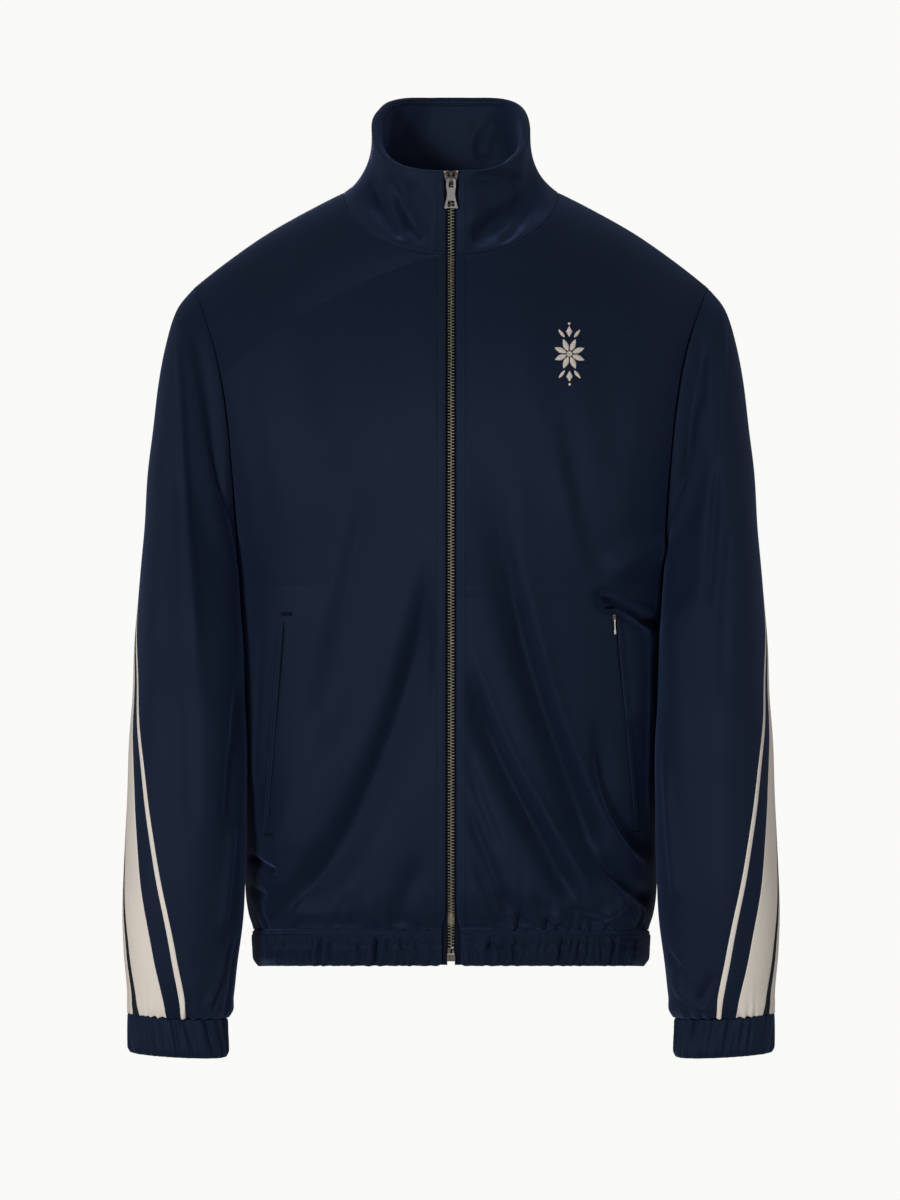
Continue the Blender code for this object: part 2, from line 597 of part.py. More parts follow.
def band_line(z, columns):
    """One level of the hem band, from the zip round the back to the zip again."""
    power = 2.0 / SQUARENESS
    turn = np.linspace(0.0, np.pi / 2, 200)
    x = half_width(z) * np.sin(turn) ** power
    x = np.maximum(x, HEM_END_X)
    quarter = [np.stack([x, trunk_y(x, z, facing), np.full_like(x, z)], axis=-1) for facing in (-1, 1)]
    behind = quarter[1][::-1].copy()
    behind[-1, 0] = 0.0
    left = np.concatenate([quarter[0], behind[1:]])
    left = left[np.concatenate([[True], np.linalg.norm(np.diff(left, axis=0), axis=1) > 1e-6])]
    right = left[::-1][1:] * np.array([-1.0, 1.0, 1.0])
    return spread_evenly(dipped(np.concatenate([left, right]))[None], columns)[0]


def band_grid():
    """The hem band, gathered into small ridges by its elastic."""
    heights = finer(np.array(BAND_HEIGHTS))
    points = np.array([band_line(float(z), HEM_COLUMNS) for z in heights])
    place = np.linspace(0.0, 1.0, points.shape[1])[None, :]
    rise = ((heights - HEM_BOTTOM_Z) / (HEM_SEAM_Z - HEM_BOTTOM_Z))[:, None]
    gather = np.cos(np.pi * HEM_COLUMNS * place) * (0.7 + 0.3 * np.sin(2 * np.pi * 7 * place))
    ends = smooth((np.minimum(place, 1 - place) - 0.01) / 0.02)
    out = (HEM_GATHER * gather * (0.35 + 0.65 * rise) - 0.8 * smooth((0.1 - rise) / 0.1)) * ends
    return points + normals_of(points) * out[..., None]


# ---------------------------------------------------------------- meshes

def add_mesh(name, points, faces, colour, place=None, smooth_angle=40.0):
    """An object from points in millimetres and faces, in its own material."""
    mesh = bpy.data.meshes.new(name)
    mesh.from_pydata([Vector(point) * MM for point in points], [], faces)
    mesh.validate()
    mesh.shade_smooth()
    mesh.set_sharp_from_angle(angle=math.radians(smooth_angle))
    thing = bpy.data.objects.new(name, mesh)
    bpy.context.scene.collection.objects.link(thing)
    if place is not None:
        thing.matrix_world = place
    material = bpy.data.materials.new(name)
    material.use_nodes = True
    shader = material.node_tree.nodes["Principled BSDF"]
    base, roughness, metallic = COLOURS[colour]
    shader.inputs["Base Color"].default_value = base
    shader.inputs["Roughness"].default_value = roughness
    shader.inputs["Metallic"].default_value = metallic
    mesh.materials.append(material)
    return thing


def grid_quads(rows, columns, first=0):
    """Faces of a grid of rows x columns points, numbered row by row."""
    quads = []
    for row in range(rows - 1):
        for column in range(columns - 1):
            corner = first + row * columns + column
            quads.append((corner, corner + 1, corner + columns + 1, corner + columns))
    return quads


def halved(points, quads):
    """Each quad as two triangles, parted along its shorter diagonal."""
    triangles = []
    for a, b, c, d in quads:
        if np.linalg.norm(points[a] - points[c]) <= np.linalg.norm(points[b] - points[d]):
            triangles += [(a, b, c), (a, c, d)]
        else:
            triangles += [(a, b, d), (b, c, d)]
    return triangles


def wall(name, points, normals, quads, thickness, colour):
    """A closed wall: the outer skin, the inner skin that bends with it, and a rim along every open edge."""
    count = len(points)
    edges = {(a, b) for quad in quads for a, b in zip(quad, quad[1:] + quad[:1])}
    rim = [(b, a, a + count, b + count) for a, b in sorted(edges) if (b, a) not in edges]
    outer = halved(points, quads)
    inner = [tuple(corner + count for corner in reversed(triangle)) for triangle in outer]
    both = np.concatenate([points, points - thickness * normals])
    return add_mesh(name, both, outer + inner + rim, colour)


def trimmed(points, normals, sides):
    """A grid whose named edges ("first_row", "last_row", "first_column", "last_column") draw back a seam's half."""
    moved = points.copy()
    picks = {"first_row": (0, 1), "last_row": (-1, -2),
             "first_column": (np.s_[:, 0], np.s_[:, 1]), "last_column": (np.s_[:, -1], np.s_[:, -2])}
    for side in sides:
        edge, beside = picks[side]
        inward = np.cross(normals[edge], unit(np.gradient(points[edge], axis=0)))
        inward *= np.sign(np.sum(inward * (points[beside] - points[edge])))
        moved[edge] += inward * SEAM_GAP / 2
    return moved


ALL_SIDES = ("first_row", "last_row", "first_column", "last_column")


def coarse(fine_points):
    """The grid that is built, and its normals, read from a fine grid."""
    return fine_points[::FINE, ::FINE], normals_of(fine_points)[::FINE, ::FINE]


def grid_wall(name, fine_points, colour, sides=ALL_SIDES, normals=None):
    points, own_normals = coarse(fine_points)
    points = trimmed(points, own_normals, sides)
    normals = own_normals if normals is None else normals
    quads = grid_quads(*points.shape[:2])
    return wall(name, points.reshape(-1, 3), normals.reshape(-1, 3), quads, CLOTH, colour)


def ring_wall(name, fine_points, colour, sides):
    """A grid wall whose last column is its first again."""
    points, normals = coarse(fine_points)
    ends = unit(normals[:, 0] + normals[:, -1])
    normals = normals.copy()
    normals[:, 0] = ends
    points = trimmed(points, normals, sides)[:, :-1]
    normals = normals[:, :-1]
    rows, columns = points.shape[:2]
    quads = []
    for row in range(rows - 1):
        for column in range(columns):
            beside = (column + 1) % columns
            low, high = row * columns, (row + 1) * columns
            quads.append((low + column, low + beside, high + beside, high + column))
    return wall(name, points.reshape(-1, 3), normals.reshape(-1, 3), quads, CLOTH, colour)


def seam_normals(own, other):
    """Normals along a seam: shared where two panels run on into each other, their own where they fold."""
    agree = np.sum(own * other, axis=-1, keepdims=True)
    return unit(own + smooth((agree - 0.1) / 0.5) * other)


# ---------------------------------------------------------------- cloth pieces

def sleeve_seam_normals(sleeve_fine):
    """Sleeve normals at the armhole, keyed by angle in tenths of a degree."""
    normals = normals_of(sleeve_fine)[0, ::FINE]
    return {int(round(10 * (angle % 360.0))) % 3600: normal for angle, normal in zip(seam_angles(), normals)}


def share_seam_normals(normals, facing, column, side, sleeve_normals):
    """Give a half panel's shoulder row, and its armhole column, the normals that its neighbours share."""
    normals[-1, :, 1] = 0.0
    normals[-1] = unit(normals[-1])
    flip = TO_RIGHT if side < 0 else 1.0
    for row, level in enumerate(panel_levels()):
        if level > 1.0:
            angle = float(level_angle(level)) if facing < 0 else 360.0 - float(level_angle(level))
            other = sleeve_normals[int(round(10 * angle)) % 3600] * flip
            normals[row, column] = seam_normals(normals[row, column], other)


def build_fronts(sleeve_normals):
    base = half_panel(-1)
    grids = {1: fold_panel(base, LEFT_FRONT_FOLDS, True), -1: mirrored(fold_panel(base, RIGHT_FRONT_FOLDS, True))}
    fronts = {}
    for side, name in ((1, "front_left"), (-1, "front_right")):
        normals = coarse(grids[side])[1].copy()
        share_seam_normals(normals, -1, -1 if side > 0 else 0, side, sleeve_normals)
        fronts[side] = grid_wall(name, grids[side], "jersey", normals=normals)
    return fronts


def build_back(sleeve_normals):
    """The back: its two halves share the centre line up to the neck, and part round it."""
    base = half_panel(1)
    neck_row = len(LOWER_LEVELS) - 1 + CHEST_ROWS
    halves = []
    for side, fine, armhole, centre in ((1, base[:, ::-1], 0, -1), (-1, base * TO_RIGHT, -1, 0)):
        points, normals = (grid.copy() for grid in coarse(fold_panel(fine, BACK_FOLDS, False)))
        share_seam_normals(normals, 1, armhole, side, sleeve_normals)
        outer_side = "first_column" if side > 0 else "last_column"
        points = trimmed(points, normals, ("first_row", "last_row", outer_side))
        neck_side = "last_column" if side > 0 else "first_column"
        neck = trimmed(points, normals, (neck_side,))[:, centre]
        points[neck_row + 1:, centre] = neck[neck_row + 1:]
        points[neck_row, centre, 2] -= SEAM_GAP / 2
        halves.append((points, normals))
    (left, left_normals), (right, right_normals) = halves
    middle = unit(left_normals[:, -1] + right_normals[:, 0])
    left_normals[:neck_row + 1, -1] = middle[:neck_row + 1]
    rows, columns = left.shape[:2]
    count = rows * columns
    centre_line = {count + row * columns: row * columns + columns - 1 for row in range(neck_row + 1)}
    numbers = [i for i in range(2 * count) if i not in centre_line]
    renumber = {old: new for new, old in enumerate(numbers)}
    quads = grid_quads(rows, columns) + grid_quads(rows, columns, first=count)
    quads = [tuple(renumber[centre_line.get(corner, corner)] for corner in quad) for quad in quads]
    points = np.concatenate([left, right]).reshape(-1, 3)[numbers]
    normals = np.concatenate([left_normals, right_normals]).reshape(-1, 3)[numbers]
    return wall("back", points, normals, quads, CLOTH, "jersey")


def build_sleeves():
    """Both sleeves and the strips of their wedges; returns the left sleeve's fine grid."""
    main = sleeve_main_grid()
    strips = (
        ("pipe", "front", "pipe_back", 1, "beige_jersey"),
        ("band", "pipe_back", "band_back", 1, "jersey"),
        ("panel", "band_back", "panel_back", 2, "beige_jersey"),
        ("line", "panel_back", "line_back", 1, "black_jersey"),
        ("gusset", "line_back", "back", 2, "beige_jersey"),
    )
    cuff = cuff_grid()
    for side, turn_over in (("left", lambda grid: grid), ("right", mirrored)):
        grid_wall(f"sleeve_{side}", turn_over(main), "jersey")
        for piece, front_edge, back_edge, columns, colour in strips:
            grid = sleeve_strip_grid(front_edge, back_edge, columns)
            grid_wall(f"stripe_{piece}_{side}", turn_over(grid), colour)
        ring_wall(f"cuff_{side}", turn_over(cuff), "jersey", ("first_row",))
    return main


def build_collar():
    return grid_wall("collar", collar_grid(), "jersey", sides=("first_row",))


def build_hem_band():
    return grid_wall("hem_band", band_grid(), "jersey", sides=("last_row",))


# ---------------------------------------------------------------- zip

def opening_heights():
    """Heights of the rows that end at the front opening, from the hem to the collar's rim."""
    on_trunk = [float(inner_edge(level, -1)[1]) for level in panel_levels() if level <= 2.0]
    return np.array(list(BAND_HEIGHTS[:-1]) + on_trunk + [RIM_FRONT_Z])


def zip_line(z):
    """Depth of the cloth's surface at the front opening, straight between the cloth's rows."""
    heights = opening_heights()
    depths = np.append(trunk_y(ZIP_EDGE_X, heights[:-1], -1), RIM_FRONT_Y)
    return np.interp(z, heights, depths)


def zip_frame(z):
    """Point on the zip line, its upward direction and its outward direction at height z."""
    ahead, behind = float(zip_line(z + 0.5)), float(zip_line(z - 0.5))
    up = Vector((0.0, ahead - behind, 1.0)).normalized()
    out = Vector((1.0, 0.0, 0.0)).cross(up)
    return Vector((0.0, float(zip_line(z)), z)), up, out


def along_zip(name, section, bottom, top, colour):
    """A strip along the zip line. Its section is (x, height off the cloth), counter-clockwise from above."""
    heights = [bottom] + [z for z in opening_heights() if bottom + 2.0 < z < top - 2.0] + [top]
    steps = len(heights) - 1
    points, faces = [], []
    for z in heights:
        place, _, out = zip_frame(float(z))
        points += [place + Vector((x, 0.0, 0.0)) + out * off for x, off in section]
    for step in range(steps):
        low, high = 4 * step, 4 * step + 4
        for side in range(4):
            beside = (side + 1) % 4
            faces.append((low + side, low + beside, high + beside, high + side))
    faces.append((3, 2, 1, 0))
    faces.append(tuple(4 * steps + side for side in range(4)))
    return add_mesh(name, points, faces, colour, smooth_angle=30.0)


def extruded(outline, low, high):
    """Points and faces of an outline (counter-clockwise seen from +third axis) between two heights."""
    count = len(outline)
    points = [(a, b, low) for a, b in outline] + [(a, b, high) for a, b in outline]
    faces = [tuple(reversed(range(count))), tuple(range(count, 2 * count))]
    for i in range(count):
        beside = (i + 1) % count
        faces.append((i, beside, beside + count, i + count))
    return points, faces


def cut_or_join(thing, name, points, faces, operation):
    """Apply a Boolean with a hidden helper that shares the thing's frame."""
    helper = add_mesh(name, points, faces, "pull_metal", place=thing.matrix_world.copy())
    helper.hide_render = True
    helper.display_type = "WIRE"
    change = thing.modifiers.new(name, "BOOLEAN")
    change.operation = operation
    change.object = helper


def placed(origin, up, out):
    """Frame whose local X runs across, local Y up the zip and local Z out of the cloth."""
    across = up.cross(out).normalized()
    turn = Matrix((across, up, out)).transposed()
    return Matrix.Translation(origin * MM) @ turn.to_4x4()


def build_slider(name, row, origin, up, out):
    """Slider body with the arch that holds its pull; its local origin is the middle of its bottom edge."""
    size = named(SLIDER_COLUMNS, row)
    length, top, bottom = size["length"], size["top_half"], size["bottom_half"]
    outline = [(-bottom, 0.0), (bottom, 0.0), (top, 0.55 * length), (top, 0.9 * length),
               (0.7 * top, length), (-0.7 * top, length), (-top, 0.9 * length), (-top, 0.55 * length)]
    points, faces = extruded(outline, size["back"], size["front"])
    slider = add_mesh(name, points, faces, "slider_metal", place=placed(origin, up, out))
    arch = [(-size["arch_outer"], size["front"] - size["axis_front"] - 0.3)]
    turns = np.radians(np.linspace(180.0, 0.0, 9))
    arch += [(size["arch_outer"] * math.cos(t), size["arch_outer"] * math.sin(t)) for t in turns]
    arch += [(size["arch_outer"], arch[0][1]), (size["arch_inner"], arch[0][1])]
    arch += [(size["arch_inner"] * math.cos(t), size["arch_inner"] * math.sin(t)) for t in turns[::-1]]
    arch += [(-size["arch_inner"], arch[0][1])]
    flat, sides = extruded(arch, -size["arch_half"], size["arch_half"])
    turned = [(x, h + size["axis_height"], f + size["axis_front"]) for h, f, x in flat]
    cut_or_join(slider, name + "_arch", turned, [tuple(reversed(face)) for face in sides], "UNION")
    return slider


def build_pull(name, slider_row, pull_row, origin, up, out):
    """Pull tab, hung on the slider's arch by its top bar; its local origin is on the bar's axis."""
    slider, pull = named(SLIDER_COLUMNS, slider_row), named(PULL_COLUMNS, pull_row)
    axis = origin + up * slider["axis_height"] + out * slider["axis_front"]
    lean = Matrix.Rotation(math.radians(pull["lean"]), 4, "X")
    bar, neck, foot = slider["bar"], pull["neck_half"], pull["foot_half"]
    length = pull["length"]
    outline = [(-neck, bar), (-neck, -0.55 * length), (-foot, -0.92 * length), (-0.8 * foot, -length),
               (0.8 * foot, -length), (foot, -0.92 * length), (neck, -0.55 * length), (neck, bar)]
    points, faces = extruded(outline, -bar, bar)
    tab = add_mesh(name, points, faces, "pull_metal", place=placed(axis, up, out) @ lean)
    slot = [(-pull["slot_half"], -pull["slot_length"]), (pull["slot_half"], -pull["slot_length"]),
            (pull["slot_half"], -bar), (-pull["slot_half"], -bar)]
    cut_or_join(tab, name + "_slot", *extruded(slot, -2 * bar, 2 * bar), "DIFFERENCE")
    if pull["hole_radius"]:
        turns = np.radians(np.arange(0, 360, 30))
        centre = -0.84 * length
        hole = [(pull["hole_radius"] * math.cos(t), centre + pull["hole_radius"] * math.sin(t)) for t in turns]
        cut_or_join(tab, name + "_hole", *extruded(hole, -2 * bar, 2 * bar), "DIFFERENCE")
    return tab


def box_section(half, front, back):
    return [(-half, front), (half, front), (half, back), (-half, back)]


def build_zip():
    front = -CLOTH - SEAM_GAP
    back = front - TAPE_THICKNESS
    section = [(TAPE_INNER_X, front), (TAPE_OUTER_X, front - TAPE_LEAN),
               (TAPE_OUTER_X, back - TAPE_LEAN), (TAPE_INNER_X, back)]
    bottom, top = HEM_BOTTOM_Z + 1.0, RIM_FRONT_Z - 1.0
    along_zip("zip_tape_left", section, bottom, top, "zip_tape")
    along_zip("zip_tape_right", [(-x, off) for x, off in reversed(section)], bottom, top, "zip_tape")
    along_zip("zip_chain", box_section(CHAIN_HALF_WIDTH, CHAIN_FRONT, CHAIN_BACK),
              BOX_TOP_Z + SEAM_GAP, SLIDER_BOTTOM_Z - SEAM_GAP, "zip_metal")
    along_zip("zip_box", box_section(BOX_HALF_WIDTH, BOX_FRONT, -CLOTH), BOX_BOTTOM_Z, BOX_TOP_Z, "slider_metal")
    place, up, out = zip_frame(SLIDER_BOTTOM_Z + 4.0)
    origin = place - up * 4.0
    build_slider("zip_slider", MAIN_SLIDER, origin, up, out)
    build_pull("zip_pull", MAIN_SLIDER, MAIN_PULL, origin, up, out)


# ---------------------------------------------------------------- pockets

def skin_reader(panel):
    """A function that drops points at x, z straight onto a panel's outer skin, with the skin's normal."""
    mesh = panel.data
    tree = BVHTree.FromPolygons([v.co / MM for v in mesh.vertices], [tuple(p.vertices) for p in mesh.polygons])

    def at(x, z):
        place, normal, _, _ = tree.ray_cast(Vector((x, -400.0, z)), Vector((0.0, 1.0, 0.0)))
        return place, normal

    return at


def build_pockets(fronts):
    """A narrow welt along each slanted pocket, and the small zip pull that shows at the left one."""
    for side, sign in (("left", 1), ("right", -1)):
        at = skin_reader(fronts[sign])
        points, normals = [], []
        for height in np.linspace(POCKET_BOTTOM[1], POCKET_TOP[1], WELT_ROWS + 1):
            x = np.interp(height, [POCKET_BOTTOM[1], POCKET_TOP[1]], [POCKET_BOTTOM[0], POCKET_TOP[0]])
            row = [at(sign * (x + off), height) for off in (0.0, WELT_WIDTH / 2, WELT_WIDTH)]
            row = row if sign > 0 else row[::-1]
            normal = (row[0][1] + row[1][1] + row[2][1]).normalized()
            points.append([place + normal * (WELT_GAP + WELT_THICKNESS) for place, _ in row])
            normals.append([normal, normal, normal])
        points, normals = np.array(points), np.array(normals)
        wall(f"pocket_welt_{side}", points.reshape(-1, 3), normals.reshape(-1, 3),
             grid_quads(*points.shape[:2]), WELT_THICKNESS, "jersey")
    at = skin_reader(fronts[1])
    slider_x, slider_z = POCKET_TOP[0] - 2.2, POCKET_TOP[1] - 3.0
    place, out = at(slider_x, slider_z)
    slant = Vector((POCKET_TOP[0] - POCKET_BOTTOM[0], 0.0, POCKET_TOP[1] - POCKET_BOTTOM[1])).normalized()
    up = (slant - out * slant.dot(out)).normalized()
    build_slider("pocket_slider", POCKET_SLIDER, place, up, out)
    build_pull("pocket_pull", POCKET_SLIDER, POCKET_PULL, place, up, out)


def build():
    for thing in list(bpy.data.objects):
        bpy.data.objects.remove(thing, do_unlink=True)
    sleeve = build_sleeves()
    sleeve_normals = sleeve_seam_normals(sleeve)
    fronts = build_fronts(sleeve_normals)
    build_back(sleeve_normals)
    build_collar()
    build_hem_band()
    build_zip()
    build_pockets(fronts)


build()
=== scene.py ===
"""Track jacket: its cloth, zips, stitches and embroidery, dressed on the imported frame.

Shapes are worked out in millimetres and written in metres. +Z is up, the front faces -Y, and +X is the
wearer's left.
"""

import json
import math

import bpy
import numpy as np
from mathutils import Matrix, Vector
from mathutils.bvhtree import BVHTree


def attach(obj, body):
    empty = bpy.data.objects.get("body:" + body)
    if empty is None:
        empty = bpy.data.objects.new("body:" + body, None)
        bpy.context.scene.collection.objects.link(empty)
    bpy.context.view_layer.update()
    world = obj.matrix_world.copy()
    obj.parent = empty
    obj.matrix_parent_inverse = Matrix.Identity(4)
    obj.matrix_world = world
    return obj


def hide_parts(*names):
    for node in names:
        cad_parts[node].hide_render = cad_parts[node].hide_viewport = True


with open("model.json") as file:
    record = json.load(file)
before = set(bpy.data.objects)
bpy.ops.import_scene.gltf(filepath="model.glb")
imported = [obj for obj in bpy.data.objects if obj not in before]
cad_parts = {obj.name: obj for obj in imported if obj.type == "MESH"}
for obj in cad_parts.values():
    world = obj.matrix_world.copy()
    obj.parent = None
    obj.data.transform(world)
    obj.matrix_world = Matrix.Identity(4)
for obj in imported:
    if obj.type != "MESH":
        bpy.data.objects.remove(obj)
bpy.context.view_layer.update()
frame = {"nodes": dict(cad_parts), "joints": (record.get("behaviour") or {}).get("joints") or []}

MM = 0.001
TO_RIGHT = np.array([-1.0, 1.0, 1.0])
BACKWARDS = Vector((0.0, 1.0, 0.0))
SIDES = (("left", 1.0), ("right", -1.0))
rng = np.random.default_rng(41)

# Camera: level, in front of the jacket
CAMERA_PLACE = (-0.0009, -4.2, -0.3578)
CAMERA_LENS = 143.67

# The cut, as in the solids
ZIP_EDGE_X = 6.5
HEM_BOTTOM_Z = -672.0
HEM_SEAM_Z = -640.0
HEM_DIP = 7.7
HEM_DIP_FROM_Z = -500.0
UNDERARM_Z = -345.0
SHOULDER_TIP = (226.5, -84.5)
NECK_HALF_WIDTH = 94.0
NECK_FRONT_DROP = 62.0
NECK_BACK_RISE = 5.0
RIM_HALF_WIDTH = 70.0
RIM_Y = (-81.0, 66.0)
RIM_Z = (12.0, 89.0)
RIM_RISE_POWER = 1.45
SQUARENESS = 2.5
RIDGE_Y = 8.0
ROUNDING = {-1: 262.0, 1: 150.0}
NECK_ROW_ANGLE = 68.0
HEM_END_X = 8.0
BAND_INSET = 1.3
BAND_FLANGE = 5.5
BAND_PUCKERS = 1.7

# Cloth edge beside the zip
GAP_COLUMNS = ("height", "edge_x")
ZIP_GAP = ((-700.0, 8.0), (-640.0, 7.6), (-630.0, 5.6), (-612.0, 4.5), (-30.0, 4.4), (-8.0, 5.6), (30.0, 6.3))

# The sleeve lies against the trunk, and its front leans in over the trunk's side
ARM_CLEARANCE = 0.5
ARM_SOFTNESS = 1.0
LEAN_COLUMNS = ("station", "lean")
SLEEVE_LEAN = (
    (0.0, 0.0), (1.0, 5.0), (2.0, 11.0), (3.0, 13.0), (4.0, 11.0), (5.0, 7.0), (6.0, 3.0), (7.0, 0.0),
    (12.0, 0.0),
)

# Steps of the cloth's grids, and the rough lengths of its edges that the steps divide
PANEL_STEP = 2.5
SLEEVE_STEP = 2.6
STRIP_STEP = 2.4
FINE_STEP = 2.0
SIDE_LENGTH = 295.0
ARMHOLE_LENGTH = 283.0
SHOULDER_LENGTH = 100.0
COLLAR_AROUND = 560.0
BAND_AROUND = 880.0
CUFF_AROUND = 240.0

# Folds of the fronts and collar were placed in the front view. A row holds four places, each across
# and down in that view's pixels, then in millimetres its width to either side and its depth.
# A depth below zero is a trough. VIEW_MIDDLE is the pixel at x 0 and at the height VIEW_MIDDLE_Z.
VIEW_MIDDLE = (451, 600)
VIEW_MIDDLE_Z = -357.8
# Millimetres to a pixel, at the fronts and at the collar
FRONT_SCALE = 0.853
COLLAR_SCALE = 0.860
# How much deeper folds are than their tables say, and how much narrower and flatter their small ridges are
FRONT_GAIN = 1.6
COLLAR_GAIN = 1.35
BACK_GAIN = 1.9
RIDGE_NARROWER = {"right": 0.8, "left": 0.75, "collar": 1.0}
RIDGE_FLATTER = 0.9
SMALL_RIDGE = 9
# Shares of a fold's run over which it rises at its start and dies out at its end
FOLD_START = 0.35
FOLD_END = 0.14
WAVES = 9
LEFT_FRONT_SEED = 100
GATHERED_MOST_X = 95.0
SIDE_DRAWN_IN = 1.6
SIDE_DRAWN_FROM_Z = -608.0

TRUNK_COLUMNS = ("height", "half_width", "widest_y", "front_y", "back_y")
TRUNK_SECTIONS = (
    (-672.0, 173.0, 5.0, -95.0, 83.0),
    (-640.0, 175.0, 5.0, -98.0, 85.0),
    (-626.0, 178.5, 6.0, -107.0, 90.0),
    (-600.0, 180.5, 6.0, -113.0, 93.0),
    (-520.0, 183.0, 10.0, -118.0, 94.0),
    (-430.0, 185.0, 12.0, -121.0, 97.0),
    (-345.0, 189.0, 12.0, -125.0, 106.0),
    (-270.0, 199.0, 11.0, -126.0, 113.0),
    (-200.0, 213.0, 10.0, -125.0, 116.0),
    (-130.0, 228.0, 9.0, -122.0, 115.0),
    (-80.0, 241.0, 8.0, -120.0, 112.0),
    (40.0, 256.0, 8.0, -119.0, 106.0),
)
SHOULDER_COLUMNS = ("x", "height")
SHOULDER_LINE = ((0.0, 28.0), (30.0, 25.0), (60.0, 15.5), (94.0, 0.0), (124.5, -15.5), (160.0, -35.5),
                 (190.0, -56.0), SHOULDER_TIP, (250.0, -106.0))
ARMHOLE_COLUMNS = ("height", "front_x", "back_x")
ARMHOLE_SEAM = (
    (UNDERARM_Z, 189.0, 189.0), (-338.0, 188.4, 189.6), (-318.0, 186.2, 191.0), (-285.0, 187.5, 194.5),
    (-245.0, 190.0, 199.5), (-204.0, 193.8, 204.5), (-164.0, 200.0, 210.0), (-135.0, 206.5, 214.5),
    (-108.0, 215.5, 219.5), (-92.0, 222.0, 223.5), (SHOULDER_TIP[1], SHOULDER_TIP[0], SHOULDER_TIP[0]),
)
SLEEVE_COLUMNS = ("station", "outer_x", "outer_z", "inner_x", "inner_z", "centre_y", "half_depth")
SLEEVE_RINGS = (
    (0.0, SHOULDER_TIP[0], SHOULDER_TIP[1], 189.0, UNDERARM_Z, -2.0, 54.0),
    (1.0, 240.0, -102.0, 189.5, -352.0, -3.0, 57.0),
    (2.0, 250.5, -138.0, 188.0, -360.0, -6.0, 60.0),
    (3.0, 259.5, -200.0, 185.5, -373.0, -12.0, 63.0),
    (4.0, 266.0, -270.0, 182.0, -395.0, -22.0, 64.0),
    (5.0, 270.8, -340.0, 179.5, -428.0, -34.0, 63.0),
    (6.0, 275.0, -410.0, 178.0, -470.0, -44.0, 61.0),
    (7.0, 278.0, -479.0, 177.0, -518.0, -52.0, 59.5),
    (8.0, 281.0, -548.0, 177.0, -570.0, -57.0, 58.0),
    (9.0, 283.3, -608.0, 179.0, -620.0, -60.0, 55.0),
    (10.0, 283.6, -660.0, 182.7, -664.0, -62.0, 49.0),
    (11.0, 281.0, -694.0, 186.5, -699.0, -64.0, 41.0),
    (12.0, 278.6, -714.5, 193.0, -719.0, -65.0, 33.0),
)
LAST_STATION = 12.0
WEDGE_COLUMNS = ("outer_z", "front", "pipe_back", "band_back", "panel_back", "line_back", "back")
WEDGE_EDGES = (
    (-290.0, -14.0, -15.2, -16.4, -17.8, -19.0, -20.4),
    (-323.0, -5.0, -7.5, -9.5, -16.5, -18.5, -25.0),
    (-393.0, 15.0, 11.0, 5.0, -14.0, -17.5, -34.0),
    (-438.0, 28.8, 24.3, 15.3, -10.0, -14.0, -35.0),
    (-517.0, 49.9, 44.6, 29.2, 0.0, -5.0, -30.0),
    (-610.0, 75.2, 70.2, 50.5, 18.5, 12.5, -18.0),
    (-714.5, 101.9, 95.5, 79.0, 41.0, 29.5, -6.0),
)
WEDGE_TOP_Z = -290.0
SEAM_ANGLES = (-34.0, -17.2)
CUFF_DROP = 33.5
CUFF_HALF_DEPTH = 32.5

RIGHT_FOLDS_SEEN = (
    (436, 535, 412, 665, 362, 798, 276, 932, 24, 9, -9.0),
    (334, 828, 307, 868, 287, 898, 264, 930, 10, 6, -3.6),
    (380, 410, 359, 540, 337, 640, 310, 765, 22, 10, -3.6),
    (408, 545, 384, 660, 337, 770, 272, 885, 20, 20, 2.6),
    (354, 450, 336, 555, 319, 640, 300, 725, 6, 6, 0.9),
    (300, 760, 287, 810, 272, 850, 256, 895, 12, 12, 2.0),
    (234, 850, 247, 861, 260, 867, 277, 875, 4, 5, -6.0),
    (236, 880, 246, 888, 254, 893, 266, 896, 3, 4, -2.4),
    (424, 840, 411, 885, 404, 905, 396, 940, 8, 10, -3.2),
    (374, 855, 363, 890, 356, 912, 350, 940, 8, 8, -1.5),
    (346, 890, 342, 905, 338, 918, 335, 935, 4, 4, -1.4),
    (300, 890, 297, 905, 292, 918, 290, 935, 4, 5, 1.6),
    (300, 220, 291, 300, 300, 380, 318, 470, 15, 15, 1.3),
    (346, 240, 331, 325, 331, 400, 346, 480, 14, 14, -1.1),
    (238, 320, 245, 395, 256, 470, 264, 560, 12, 12, -1.2),
    (412, 300, 405, 380, 402, 460, 396, 560, 16, 14, -1.0),
    (268, 600, 262, 660, 258, 730, 256, 800, 7, 7, 1.6),
)
